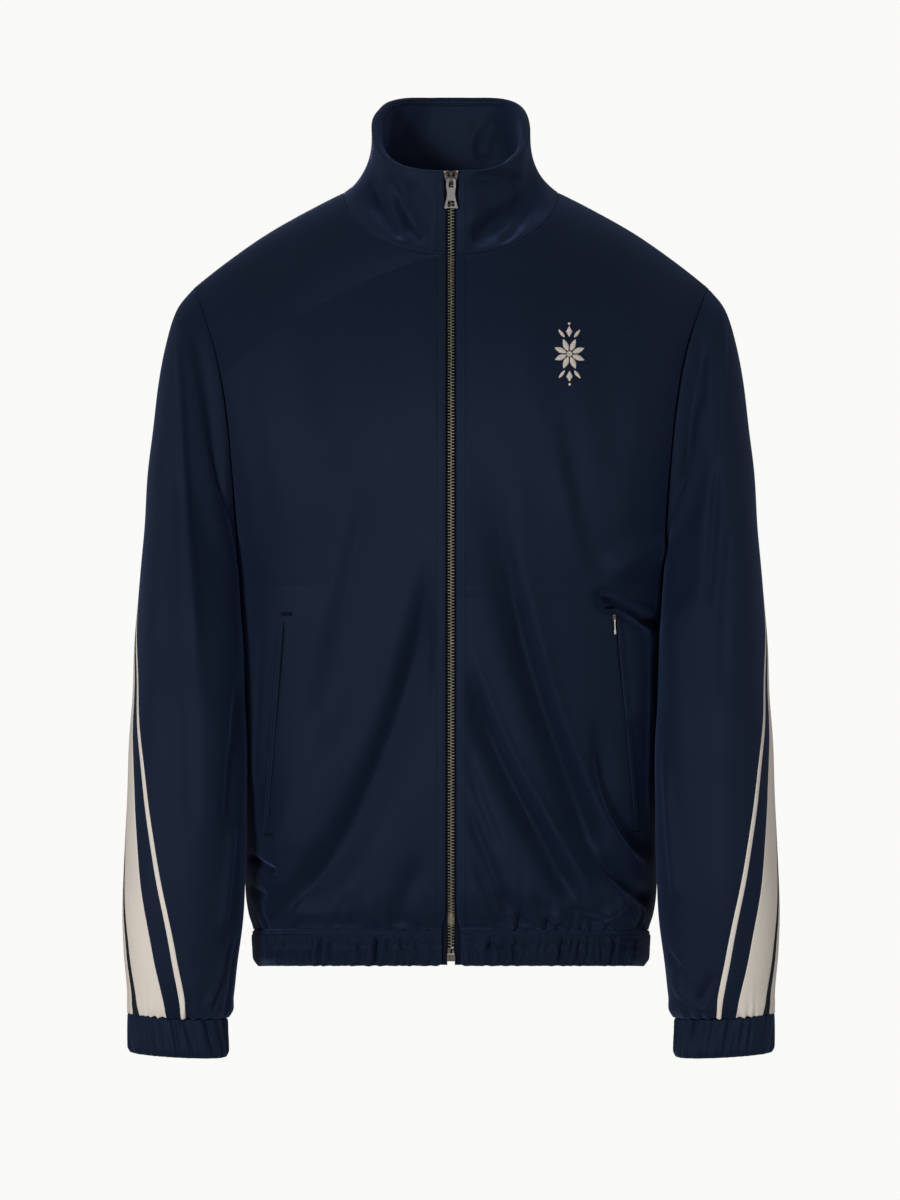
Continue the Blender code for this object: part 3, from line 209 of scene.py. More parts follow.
LEFT_FOLDS_SEEN = (
    (482, 420, 526, 640, 568, 763, 617, 899, 16, 6, -10.0),
    (496, 440, 541, 650, 591, 792, 655, 877, 5, 8, 2.4),
    (461, 640, 493, 738, 535, 822, 589, 923, 13, 6, -8.0),
    (468, 620, 498, 725, 542, 808, 602, 910, 6, 6, 2.4),
    (458, 780, 479, 835, 496, 880, 514, 940, 6, 4, -3.2),
    (468, 842, 482, 880, 491, 905, 502, 938, 3, 3, -2.8),
    (460, 725, 471, 768, 485, 810, 502, 856, 5, 4, -1.8),
    (592, 700, 606, 775, 623, 824, 660, 866, 6, 10, -6.0),
    (600, 852, 617, 873, 635, 889, 666, 908, 7, 8, -7.5),
    (601, 858, 613, 881, 625, 900, 641, 926, 3, 3, 1.8),
    (590, 594, 615, 600, 640, 611, 676, 630, 8, 4, -10.0),
    (600, 586, 622, 566, 642, 552, 674, 546, 11, 11, 4.0),
    (634, 604, 638, 640, 640, 680, 636, 740, 12, 9.5, 3.2),
    (657, 612, 656, 670, 655, 740, 656, 835, 4, 6, -2.0),
    (560, 385, 573, 460, 583, 520, 601, 592, 8, 16, -3.2),
    (549, 425, 569, 500, 585, 550, 603, 600, 9.5, 7, 1.8),
    (508, 420, 522, 520, 536, 600, 556, 690, 10, 10, 1.2),
    (602, 922, 610, 915, 617, 909, 627, 900, 6, 6, 3.0),
    (544, 925, 551, 920, 558, 917, 568, 914, 5, 5, 2.4),
    (532, 888, 540, 906, 546, 918, 553, 936, 4, 4, -2.8),
    (498, 882, 509, 903, 519, 917, 532, 936, 7, 7, -2.8),
    (564, 900, 579, 915, 592, 922, 608, 928, 6, 6, -3.4),
    (590, 250, 602, 320, 612, 400, 618, 480, 14, 16, -1.4),
    (640, 330, 634, 400, 628, 470, 622, 545, 12, 12, 1.4),
    (512, 230, 522, 300, 530, 370, 536, 440, 14, 14, 0.9),
)
COLLAR_FOLDS_SEEN = (
    (366, 156, 376, 190, 387, 215, 402, 244, 4, 6, -3.4),
    (377, 162, 388, 192, 398, 216, 414, 242, 3, 3, 0.9),
    (384, 156, 395, 192, 407, 218, 428, 248, 6, 8, -4.6),
    (360, 186, 371, 212, 384, 230, 402, 245, 4, 4, 1.4),
    (538, 162, 519, 203, 498, 222, 458, 250, 9, 9, -7.0),
    (518, 180, 499, 196, 483, 207, 460, 230, 9.5, 9.5, 1.2),
    (527, 190, 514, 214, 503, 230, 492, 246, 9.2, 6, 0.8),
    (534, 190, 523, 216, 512, 231, 498, 246, 4, 5, -3.0),
    (458, 180, 480, 178, 502, 177, 526, 180, 6, 6, -4.0),
    (400, 175, 412, 190, 420, 205, 428, 225, 9, 9, -1.6),
)
# The other folds are in millimetres, each through four places (x, height)
BACK_LEFT_FOLDS = (
    (62.0, -230.0, 84.0, -350.0, 108.0, -480.0, 130.0, -618.0, 16, 22, -5.0),
    (96.0, -260.0, 118.0, -380.0, 140.0, -500.0, 158.0, -600.0, 14, 16, 2.6),
    (28.0, -400.0, 38.0, -470.0, 52.0, -550.0, 64.0, -630.0, 12, 14, 3.2),
    (150.0, -420.0, 158.0, -480.0, 166.0, -540.0, 170.0, -600.0, 8, 8, -2.4),
    (90.0, -560.0, 94.0, -585.0, 92.0, -610.0, 98.0, -632.0, 5, 6, -1.8),
    (128.0, -120.0, 136.0, -180.0, 142.0, -250.0, 150.0, -320.0, 18, 18, -1.8),
)
BACK_RIGHT_FOLDS = (
    (60.0, -230.0, 82.0, -340.0, 108.0, -470.0, 130.0, -625.0, 18, 24, -5.0),
    (34.0, -290.0, 52.0, -400.0, 80.0, -520.0, 100.0, -620.0, 14, 16, 2.4),
    (-14.0, -360.0, 4.0, -440.0, 18.0, -530.0, 40.0, -630.0, 16, 18, -3.6),
    (146.0, -380.0, 152.0, -450.0, 160.0, -520.0, 164.0, -590.0, 10, 8, -2.6),
    (60.0, -575.0, 64.0, -595.0, 70.0, -615.0, 72.0, -632.0, 5, 5, -1.6),
    (120.0, -140.0, 130.0, -200.0, 134.0, -270.0, 140.0, -330.0, 16, 18, -1.6),
)
# On a sleeve the first of each pair is the angle round it: 0 is the outer side and 90 the front
SLEEVE_BACK_FOLDS = (
    (-70.0, -170.0, -78.0, -260.0, -80.0, -340.0, -70.0, -430.0, 16, 16, -5.0),
    (-110.0, -200.0, -118.0, -280.0, -122.0, -360.0, -112.0, -440.0, 14, 14, 4.0),
    (-120.0, -560.0, -108.0, -605.0, -96.0, -650.0, -80.0, -700.0, 12, 12, -4.6),
    (-150.0, -470.0, -130.0, -500.0, -110.0, -520.0, -92.0, -530.0, 10, 10, -3.4),
)
SLEEVE_FOLDS = {
    "right": SLEEVE_BACK_FOLDS + (
        (20.0, -106.0, 55.0, -137.0, 80.0, -212.0, 97.0, -390.0, 7, 6, 3.4),
        (30.0, -90.0, 58.0, -94.0, 84.0, -98.0, 112.0, -112.0, 8, 10, -5.5),
        (84.0, -122.0, 104.0, -200.0, 112.0, -290.0, 116.0, -430.0, 17, 24, -4.0),
        (70.0, -250.0, 84.0, -357.0, 93.0, -453.0, 98.0, -560.0, 11, 11, -2.6),
        (150.0, -330.0, 146.0, -405.0, 142.0, -470.0, 138.0, -540.0, 8, 12, -5.0),
        (147.0, -490.0, 141.0, -554.0, 137.0, -595.0, 133.0, -640.0, 6, 5, 3.2),
        (152.0, -630.0, 146.0, -660.0, 139.0, -682.0, 126.0, -710.0, 4, 4, -2.6),
        (145.0, -640.0, 138.0, -670.0, 130.0, -688.0, 118.0, -708.0, 4, 4, 2.2),
        (161.0, -630.0, 160.0, -665.0, 158.0, -692.0, 150.0, -712.0, 5, 5, -2.4),
    ),
    "left": SLEEVE_BACK_FOLDS + (
        (18.0, -94.0, 44.0, -127.0, 61.0, -150.0, 76.0, -196.0, 5, 5, 2.8),
        (54.0, -140.0, 75.0, -186.0, 84.0, -234.0, 93.0, -320.0, 4, 6, -2.8),
        (78.0, -132.0, 90.0, -190.0, 98.0, -245.0, 103.0, -340.0, 8, 8, 2.2),
        (34.0, -88.0, 60.0, -92.0, 84.0, -97.0, 110.0, -112.0, 8, 11, -6.5),
        (94.0, -104.0, 106.0, -150.0, 112.0, -205.0, 115.0, -290.0, 15, 22, -3.5),
        (42.0, -90.0, 52.0, -95.0, 61.0, -101.0, 72.0, -110.0, 5, 5, -2.0),
        (62.0, -220.0, 71.0, -280.0, 78.0, -340.0, 85.0, -420.0, 7, 7, -2.0),
        (152.0, -430.0, 147.0, -490.0, 141.0, -554.0, 135.0, -610.0, 8, 6, 3.0),
        (162.0, -652.0, 151.0, -663.0, 140.0, -671.0, 126.0, -677.0, 4, 4, -3.2),
        (164.0, -678.0, 143.0, -690.0, 128.0, -697.0, 110.0, -708.0, 5, 4, 2.8),
        (98.0, -672.0, 106.0, -685.0, 112.0, -694.0, 122.0, -702.0, 4, 5, -3.0),
    ),
}

# Zip and slider
TOOTH_PITCH = 2.59
TEETH_BOTTOM_Z = -656.5
SLIDER_BOTTOM_Z = -1.0
CHAIN_DEPTH = 0.4

WORLD_FRONT = 0.19
WORLD_BACK = 0.12
NAVY = (0.0032, 0.0062, 0.0164)
BEIGE = (0.84, 0.765, 0.665)
BLACK = (0.010, 0.011, 0.016)


# ---------------------------------------------------------------- curves

def smooth(value):
    value = np.clip(value, 0.0, 1.0)
    return value * value * (3.0 - 2.0 * value)


def unit(vectors):
    return vectors / np.maximum(np.linalg.norm(vectors, axis=-1, keepdims=True), 1e-9)


def curve(table, columns, key, value):
    """A smooth curve through a table's rows, without overshoot, which gives `value` at any `key`."""
    rows = sorted(table, key=lambda row: row[columns.index(key)])
    x = np.array([row[columns.index(key)] for row in rows])
    y = np.array([row[columns.index(value)] for row in rows])
    step = np.diff(x)
    slope = np.diff(y) / step
    tangent = np.concatenate([slope[:1], np.zeros(len(x) - 2), slope[-1:]])
    for i in range(1, len(x) - 1):
        if slope[i - 1] * slope[i] > 0:
            before, after = 2 * step[i] + step[i - 1], step[i] + 2 * step[i - 1]
            tangent[i] = (before + after) / (before / slope[i - 1] + after / slope[i])

    def at(points):
        points = np.clip(np.asarray(points, float), x[0], x[-1])
        i = np.clip(np.searchsorted(x, points, side="right") - 1, 0, len(x) - 2)
        t = (points - x[i]) / step[i]
        rise = y[i + 1] - y[i]
        bend = t * (1 - t) * ((1 - t) * (tangent[i] * step[i] - rise) - t * (tangent[i + 1] * step[i] - rise))
        return y[i] + rise * t + bend

    return at


half_width, widest_y, front_y, back_y = (
    curve(TRUNK_SECTIONS, TRUNK_COLUMNS, "height", name) for name in TRUNK_COLUMNS[1:])
shoulder_z = curve(SHOULDER_LINE, SHOULDER_COLUMNS, "x", "height")
armhole_x = {-1: curve(ARMHOLE_SEAM, ARMHOLE_COLUMNS, "height", "front_x"),
             1: curve(ARMHOLE_SEAM, ARMHOLE_COLUMNS, "height", "back_x")}
ring = {name: curve(SLEEVE_RINGS, SLEEVE_COLUMNS, "station", name) for name in SLEEVE_COLUMNS[1:]}
station_at = curve(SLEEVE_RINGS, SLEEVE_COLUMNS, "outer_z", "station")
wedge = {name: curve(WEDGE_EDGES, WEDGE_COLUMNS, "outer_z", name) for name in WEDGE_COLUMNS[1:]}
gap_edge = curve(ZIP_GAP, GAP_COLUMNS, "height", "edge_x")
sleeve_lean = curve(SLEEVE_LEAN, LEAN_COLUMNS, "station", "lean")


def fold_height(folds, x, z):
    """How far the cloth stands out or sinks in at x, z. Each fold is softer on one side than the other."""
    x, z = np.broadcast_arrays(np.asarray(x, float), np.asarray(z, float))
    height = np.zeros(x.shape)
    steps = np.linspace(0.0, 1.0, 13)
    for row in folds:
        knots = np.array(row[:8]).reshape(4, 2)
        inner, outer, depth = row[8:]
        t = steps[:, None]
        first = (18 * knots[1] - 5 * knots[0] - 9 * knots[2] + 2 * knots[3]) / 6
        second = (18 * knots[2] - 5 * knots[3] - 9 * knots[1] + 2 * knots[0]) / 6
        path = ((1 - t) ** 3 * knots[0] + 3 * t * (1 - t) ** 2 * first + 3 * t ** 2 * (1 - t) * second
                + t ** 3 * knots[3])
        reach = 3 * max(inner, outer)
        near = ((x > path[:, 0].min() - reach) & (x < path[:, 0].max() + reach)
                & (z > path[:, 1].min() - reach) & (z < path[:, 1].max() + reach))
        px, pz = x[near], z[near]
        nearest, place, side = np.full(px.shape, np.inf), np.zeros(px.shape), np.zeros(px.shape)
        for i in range(len(steps) - 1):
            (ax, az), (bx, bz) = path[i], path[i + 1]
            along = (px - ax) * (bx - ax) + (pz - az) * (bz - az)
            s = np.clip(along / ((bx - ax) ** 2 + (bz - az) ** 2), 0, 1)
            dx, dz = px - ax - s * (bx - ax), pz - az - s * (bz - az)
            distance = np.hypot(dx, dz)
            closer = distance < nearest
            place = np.where(closer, (i + s) / (len(steps) - 1), place)
            side = np.where(closer, dx * (bz - az) - dz * (bx - ax), side)
            nearest = np.minimum(nearest, distance)
        runs = np.sign(path[-1, 1] - path[0, 1])
        beside = 0.5 - side * runs * -0.5 / np.maximum(np.abs(side), 1e-6) * np.minimum(1, nearest / 2)
        width = inner + (outer - inner) * smooth(beside)
        ends = smooth(place / FOLD_START) * smooth((1 - place) / FOLD_END)
        height[near] += depth * ends * np.exp(-(nearest / width) ** 2)
    return height


def placed_folds(seen, scale, gain, narrower, facing=1.0, lift=0.0):
    """Folds in millimetres, from their places in the front view."""
    folds = []
    for *places, inner, outer, depth in seen:
        knots = []
        for across, down in zip(places[::2], places[1::2]):
            knots.append(round(facing * (across - VIEW_MIDDLE[0]) * scale, 1))
            knots.append(round(VIEW_MIDDLE_Z + (VIEW_MIDDLE[1] - down) * scale + lift, 1))
        height = depth * gain
        if depth > 0 and max(inner, outer) <= SMALL_RIDGE:
            inner, outer = round(inner * narrower, 1), round(outer * narrower, 1)
            height = height * RIDGE_FLATTER
        folds.append((*knots, inner, outer, round(height, 1)))
    return folds


RIGHT_FOLDS = placed_folds(RIGHT_FOLDS_SEEN, FRONT_SCALE, FRONT_GAIN, RIDGE_NARROWER["right"], facing=-1.0)
LEFT_FOLDS = placed_folds(LEFT_FOLDS_SEEN, FRONT_SCALE, FRONT_GAIN, RIDGE_NARROWER["left"])
COLLAR_FOLDS = placed_folds(COLLAR_FOLDS_SEEN, COLLAR_SCALE, COLLAR_GAIN, RIDGE_NARROWER["collar"],
                            lift=NECK_FRONT_DROP)


def wander(values, seed, wavelength):
    """A smooth uneven wave of about one unit, whose waves are around `wavelength` long."""
    local = np.random.default_rng(seed)
    total = np.zeros(np.shape(values))
    for _ in range(WAVES):
        phase = values / (wavelength * local.uniform(0.65, 1.6))
        total = total + np.sin(2 * np.pi * (phase + local.uniform()))
    return total / math.sqrt(WAVES / 2)


def drape(a, b, seed, wavelength):
    """Soft unevenness over a surface whose coordinates are a and b."""
    local = np.random.default_rng(seed)
    total = np.zeros(np.broadcast(a, b).shape)
    for _ in range(10):
        turn, size = local.uniform(0, np.pi), wavelength * local.uniform(0.7, 1.8)
        phase = (a * math.cos(turn) * 1.6 + b * math.sin(turn)) / size
        total = total + np.sin(2 * np.pi * (phase + local.uniform()))
    return total / math.sqrt(5)


def normals_of(points):
    return unit(np.cross(np.gradient(points, axis=1), np.gradient(points, axis=0)))


def lengths(points, axis):
    """Length along each row or column of a grid, from its start."""
    steps = np.linalg.norm(np.diff(points, axis=axis), axis=-1)
    zero = np.zeros_like(np.take(steps, [0], axis=axis))
    return np.concatenate([zero, np.cumsum(steps, axis=axis)], axis=axis)


def edge_places(length, step, ends=(True, True)):
    """Places along a line, a step apart, and closer at the ends that turn in at a seam."""
    close = np.array([0.0, 0.25, 0.7, 1.4, 2.4])
    count = max(4, int(round(length / step)))
    places = np.linspace(0.0, length, count + 1)
    inside = places[(places > (3.2 if ends[0] else 0.1)) & (places < length - (3.2 if ends[1] else 0.1))]
    first = close if ends[0] else np.array([0.0])
    last = length - close[::-1] if ends[1] else np.array([length])
    return np.concatenate([first, inside, last]) / length


def pinch(points, sides, depth=1.3, width=2.4):
    """A grid whose named edges turn in, as cloth does where it is sewn."""
    normals = normals_of(points)
    along, up = lengths(points, 1), lengths(points, 0)
    away = {"first_row": up, "last_row": up[-1:] - up,
            "first_column": along, "last_column": along[:, -1:] - along}
    drop = np.zeros(points.shape[:2])
    for side, share in sides.items():
        t = 1.0 - np.clip(away[side] / width, 0.0, 1.0)
        drop = np.maximum(drop, share * depth * (1.0 - np.sqrt(np.maximum(0.0, 1.0 - t * t))))
    return points - normals * drop[..., None]


# ---------------------------------------------------------------- trunk

def trunk_y(x, z, facing):
    ax = np.abs(x)
    if facing > 0:
        ax = np.sqrt(ax * ax + 150.0 * np.exp(-(ax / 26.0) ** 2))
    across = np.clip(ax / half_width(z), 0.0, 1.0)
    rounded = (1.0 - across ** SQUARENESS) ** (1.0 / SQUARENESS)
    face = front_y(z) if facing < 0 else back_y(z)
    section = widest_y(z) + (face - widest_y(z)) * rounded
    below = np.clip((shoulder_z(ax) - z) / ROUNDING[facing], 0.0, 1.0)
    return RIDGE_Y + (section - RIDGE_Y) * np.sqrt(1.0 - (1.0 - below) ** 2)


def trunk_side_x(y, z):
    from_widest = y - widest_y(z)
    face = np.where(from_widest < 0, front_y(z), back_y(z)) - widest_y(z)
    across = np.clip(np.abs(from_widest / face), 0, 1)
    return half_width(z) * (1.0 - across ** SQUARENESS) ** (1.0 / SQUARENESS)


def armhole_z(angle):
    middle, half = (SHOULDER_TIP[1] + UNDERARM_Z) / 2, (SHOULDER_TIP[1] - UNDERARM_Z) / 2
    return middle + half * np.cos(np.radians(angle))


def armhole_points(angle):
    z = armhole_z(angle)
    front, back = (np.stack([armhole_x[f](z), trunk_y(armhole_x[f](z), z, f), z], axis=-1) for f in (-1, 1))
    return np.where((np.asarray(angle) % 360.0 <= 180.0)[..., None], front, back)


def neck_height(angle, facing):
    across = np.cos(np.radians(angle))
    return -NECK_FRONT_DROP * across if facing < 0 else NECK_BACK_RISE * across ** 2


def inner_edge(level, facing):
    first_x = ZIP_EDGE_X if facing < 0 else 0.0
    first = math.degrees(math.asin(first_x / NECK_HALF_WIDTH))
    angle = np.interp(level, [2.0, 3.0], [first, 90.0])
    x = np.where(level < 2.0, first_x, NECK_HALF_WIDTH * np.sin(np.radians(angle)))
    z = np.interp(level, [0.0, 1.0, 2.0], [HEM_SEAM_Z, UNDERARM_Z, neck_height(first, facing)])
    return x, np.where(level < 2.0, z, neck_height(angle, facing))


def outer_edge(level, facing):
    side_z = np.interp(level, [0.0, 1.0], [HEM_SEAM_Z, UNDERARM_Z])
    seam_z = armhole_z(np.interp(level, [1.0, 2.0, 3.0], [180.0, NECK_ROW_ANGLE, 0.0]))
    x = np.where(level < 1.0, half_width(side_z), armhole_x[facing](seam_z))
    return x, np.where(level < 1.0, side_z, seam_z)


def dipped(points):
    """Trunk points, with the hem lower at the sides and back than beside the zip."""
    y, z = points[..., 1], points[..., 2]
    behind = np.clip((y - front_y(z)) / (widest_y(z) - front_y(z)), 0.0, 1.0)
    low = smooth((HEM_DIP_FROM_Z - z) / (HEM_DIP_FROM_Z - HEM_SEAM_Z))
    return np.stack([points[..., 0], y, z - HEM_DIP * behind * low], axis=-1)


def to_zip(points):
    """Front points, with the cloth's edge drawn in to the zip's teeth."""
    x, y, z = points[..., 0], points[..., 1], points[..., 2]
    ax = np.abs(x)
    near = (1.0 - smooth((ax - ZIP_EDGE_X) / 8.0)) * (y < 0)
    return np.stack([x - np.sign(x) * (ZIP_EDGE_X - gap_edge(z)) * near, y, z], axis=-1)


def spread(points, step, ends):
    """Each row of a dense grid, read at the same shares of its length in x, y and z."""
    dense = lengths(points[..., :3], 1)
    shares = edge_places(float(dense[:, -1].mean()), step, ends)
    rows = [np.stack([np.interp(shares * run[-1], run, row[:, i]) for i in range(points.shape[2])], axis=1)
            for row, run in zip(points, dense)]
    return np.array(rows)


def half_panel(facing):
    """Half a panel on the wearer's left, from the centre out, and each point's height before the dip."""
    lower = edge_places(SIDE_LENGTH, PANEL_STEP, (True, False))
    chest = 1.0 + edge_places(ARMHOLE_LENGTH, PANEL_STEP, (False, False))
    neck = 2.0 + edge_places(SHOULDER_LENGTH, PANEL_STEP, (False, True))
    level = np.concatenate([lower, chest[1:], neck[1:]])[:, None]
    t = np.linspace(0.0, 1.0, 201)[None, :]
    (inner_x, inner_z), (outer_x, outer_z) = inner_edge(level, facing), outer_edge(level, facing)
    widest = half_width(outer_z)
    power = SQUARENESS / 2.0
    first = np.arcsin(np.clip(inner_x / widest, 0.0, 1.0) ** power)
    last = np.arcsin(np.clip(outer_x / widest, 0.0, 1.0) ** power)
    x = widest * np.sin(first + (last - first) * t) ** (1.0 / power)
    level_z = inner_z + (outer_z - inner_z) * t
    below_inner, below_outer = shoulder_z(inner_x) - inner_z, shoulder_z(outer_x) - outer_z
    sloped_z = shoulder_z(x) - below_inner - (below_outer - below_inner) * t
    z = level_z + (sloped_z - level_z) * smooth((level - 1.0) / 2.0)
    surface = dipped(np.stack([x, trunk_y(x, z, facing), z], axis=-1))
    grid = spread(np.concatenate([surface, z[..., None]], axis=-1), PANEL_STEP, (facing < 0, True))
    return grid[..., :3], grid[..., 3]


def gathers(place, above, seed, pitch, height, reach):
    """Small uneven puckers that rise from a gathered seam and die out above it."""
    size = reach * (0.75 + 0.35 * wander(place, seed + 1, pitch * 2.3))
    ripple = wander(place, seed, pitch)
    sharp = np.sign(ripple) * np.abs(ripple) ** 1.25
    return height * sharp * np.exp(-np.clip(above, 0, None) / np.maximum(size, reach * 0.25))


def dress_panel(points, z, folds, seed, opens_in_front):
    x = points[..., 0]
    ax = np.abs(x)
    to_side = 1.0 - np.clip(ax / half_width(z), 0.0, 1.0)
    seams = smooth(to_side / 0.045) * smooth((shoulder_z(ax) - z) / 60.0)
    if opens_in_front:
        seams = seams * smooth((ax - ZIP_EDGE_X - 2.0) / 12.0)
    gain = 1.0 if opens_in_front else BACK_GAIN
    out = gain * fold_height(folds, ax, z) * seams * smooth((z - HEM_SEAM_Z) / 4.0)
    out = out + 0.55 * drape(ax, z, seed, 120.0) * seams * smooth((z - HEM_SEAM_Z) / 20.0)
    placket = smooth((ax - 14.0) / 10.0) if opens_in_front else 1.0
    place = lengths(points, 1)[0][None, :]
    strength = 1.1 + 0.8 * np.exp(-((x * (seed == LEFT_FRONT_SEED) - GATHERED_MOST_X) / 45.0) ** 2)
    puckers = gathers(place, z - HEM_SEAM_Z, seed + 5, 11.0, 1.0, 13.0)
    out = out + puckers * strength * placket * smooth(to_side / 0.03)
    normals = normals_of(points) * (1.0 if opens_in_front else -1.0)
    drawn_in = SIDE_DRAWN_IN * smooth((SIDE_DRAWN_FROM_Z - z) / 30.0)
    out = out - drawn_in * smooth((np.abs(normals[..., 0]) - 0.5) / 0.4)
    folded = points + normals * out[..., None]
    return to_zip(folded) if opens_in_front else folded


# ---------------------------------------------------------------- sleeves

def clear_of_trunk(points, station):
    x, y, z = points[..., 0], points[..., 1], points[..., 2]
    ramp = smooth(station / 0.7)
    least = trunk_side_x(y, z) + ARM_CLEARANCE * ramp
    pressed = (x + least + np.sqrt((x - least) ** 2 + (ARM_SOFTNESS * ramp) ** 2)) / 2
    low = smooth((-268.0 - z) / 30.0) * np.maximum(smooth(station / 0.25), z <= UNDERARM_Z)
    return np.stack([x + (pressed - x) * low, y, z], axis=-1)


def sleeve_points(station, angle):
    station, angle = np.broadcast_arrays(np.asarray(station, float), np.asarray(angle, float))
    turn = np.radians(angle)

    def ring_points(at):
        half_x = (ring["outer_x"](at) - ring["inner_x"](at)) / 2
        half_z = (ring["outer_z"](at) - ring["inner_z"](at)) / 2
        x = ring["inner_x"](at) + half_x * (1 + np.cos(turn))
        z = ring["inner_z"](at) + half_z * (1 + np.cos(turn))
        return np.stack([x, ring["centre_y"](at) - ring["half_depth"](at) * np.sin(turn), z], axis=-1)

    cap = (1.0 - np.clip(station / 4.0, 0.0, 1.0))[..., None] ** 2
    at_seam = armhole_points(angle) - ring_points(np.zeros_like(station))
    points = ring_points(station) + at_seam * cap
    points[..., 0] -= sleeve_lean(station) * np.exp(-(((angle % 360.0) - 128.0) / 30.0) ** 2)
    return clear_of_trunk(points, station)


def dress_sleeve(points, station, angle, side, gather=1.0):
    turn = (angle + 180.0) % 360.0 - 180.0
    outer_z = ring["outer_z"](station)
    room = smooth(station / 1.2) * smooth((LAST_STATION - station) / 0.25)
    out = fold_height(SLEEVE_FOLDS[side], turn, outer_z) * room
    out = out + 0.5 * drape(points[..., 1], points[..., 2], 77, 110.0) * room
    above = outer_z - ring["outer_z"](LAST_STATION)
    blouse = (1.4 + 1.4 * np.exp(-((np.abs(turn) - 180.0) / 60.0) ** 2)) * np.exp(-((above - 8.0) / 6.5) ** 2)
    out = out + gather * blouse * smooth(above / 2.0)
    wrap = np.sin(np.radians(turn) / 2) * 170.0
    out = out + gather * gathers(wrap, above, 83, 11.0, 1.3, 12.0)
    folded = points + normals_of(points) * out[..., None]
    return clear_of_trunk(folded, station)


def sleeve_rows():
    """Stations of the sleeve's rows: down to the wedge, and along it."""
    fine = np.linspace(0.0, LAST_STATION, 600)
    mid = sleeve_points(fine[:, None], np.array([[90.0]]))[:, 0]
    run = np.concatenate([[0.0], np.cumsum(np.linalg.norm(np.diff(mid, axis=0), axis=1))])
    return np.interp(edge_places(run[-1], PANEL_STEP) * run[-1], run, fine)


def sleeve_main(side):
    station = sleeve_rows()[:, None]
    top = float(station_at(WEDGE_TOP_Z))
    seam = SEAM_ANGLES[0] + (SEAM_ANGLES[1] - SEAM_ANGLES[0]) * smooth(station / top)
    outer_z = ring["outer_z"](station)
    first = np.where(station <= top, seam, wedge["front"](outer_z))
    last = np.where(station <= top, seam, wedge["back"](outer_z)) + 360.0
    share = edge_places(360.0, SLEEVE_STEP)[None, :]
    angle = first + (last - first) * share
    points = dress_sleeve(sleeve_points(station, angle), station, angle, side)
    return pinch(points, {"first_row": 0.7, "last_row": 1.3, "first_column": 0.5, "last_column": 0.5})


def sleeve_strip(side, front_edge, back_edge, width):
    station = sleeve_rows()
    station = np.concatenate([[float(station_at(WEDGE_TOP_Z)) + 0.06],
                              station[station > float(station_at(WEDGE_TOP_Z)) + 0.1]])[:, None]
    outer_z = ring["outer_z"](station)
    first, last = wedge[back_edge](outer_z), wedge[front_edge](outer_z)
    angle = first + (last - first) * edge_places(width, STRIP_STEP)[None, :]
    points = dress_sleeve(sleeve_points(station, angle), station, angle, side, 0.5)
    return pinch(points, {"last_row": 1.3, "first_column": 0.4, "last_column": 0.4}, width=1.4)


def cuff_grid():
    """A cuff: gathered outer layer, rolled over its lower edge, and its inner layer."""
    angle = np.linspace(0.0, 360.0, 241)[None, :]
    turn = np.radians(angle)
    drop, inset = folded_profile(CUFF_DROP, 1.6)
    place = angle / 360.0 * CUFF_AROUND
    up = 1.0 - np.clip(drop / CUFF_DROP, 0, 1)
    in_view = 0.45 + 0.55 * np.abs(np.sin(turn))
    gather = (periodic(place + 9.0 * up, CUFF_AROUND, 311, 13.0) * 1.5 - 0.8) * (0.45 + 0.65 * up) * in_view
    gather = gather + periodic(place + 5.0 * up, CUFF_AROUND, 313, 5.0) * 0.4 * in_view
    corner = 2.2 * smooth((0.22 - up) / 0.22) ** 2
    out = np.where(inset > 2.0, 0.3, 1.0) * (gather + 0.5 - corner) - inset
    centre_x = (ring["outer_x"](LAST_STATION) + ring["inner_x"](LAST_STATION)) / 2
    half_x = (ring["outer_x"](LAST_STATION) - ring["inner_x"](LAST_STATION)) / 2
    half_z = (ring["outer_z"](LAST_STATION) - ring["inner_z"](LAST_STATION)) / 2
    x = centre_x + (half_x + out) * np.cos(turn)
    z = ring["inner_z"](LAST_STATION) + half_z * (1 + np.cos(turn)) - drop
    y = ring["centre_y"](LAST_STATION) - (CUFF_HALF_DEPTH + out) * np.sin(turn)
    return np.stack([x, y, z], axis=-1)


def folded_profile(drop, radius):
    """(distance down, distance in) of a doubled band: tucked seam, outer face, rolled edge, inner face."""
    turn = np.radians(np.linspace(0.0, 180.0, 9))
    tuck = np.array([[0.0, 1.5], [0.25, 0.8], [0.9, 0.25], [2.0, 0.0]])
    face = np.stack([np.linspace(3.5, drop - radius, 15), np.zeros(15)], axis=1)
    roll = np.stack([drop - radius + radius * np.sin(turn), radius * (1 - np.cos(turn))], axis=1)[1:]
    inner = np.stack([np.linspace(drop - radius - 2.0, 1.0, 7), np.full(7, 2 * radius)], axis=1)
    down, inset = np.concatenate([tuck, face, roll, inner]).T[:, :, None]
    return down, inset


def periodic(place, around, seed, pitch):
    """An uneven wave that closes on itself."""
    local = np.random.default_rng(seed)
    total = np.zeros(np.shape(place))
    for _ in range(WAVES):
        waves = max(1, round(around / (pitch * local.uniform(0.7, 1.5))))
        total = total + np.sin(2 * np.pi * (waves * place / around + local.uniform()))
    return total / math.sqrt(WAVES / 2)


# ---------------------------------------------------------------- collar and hem band

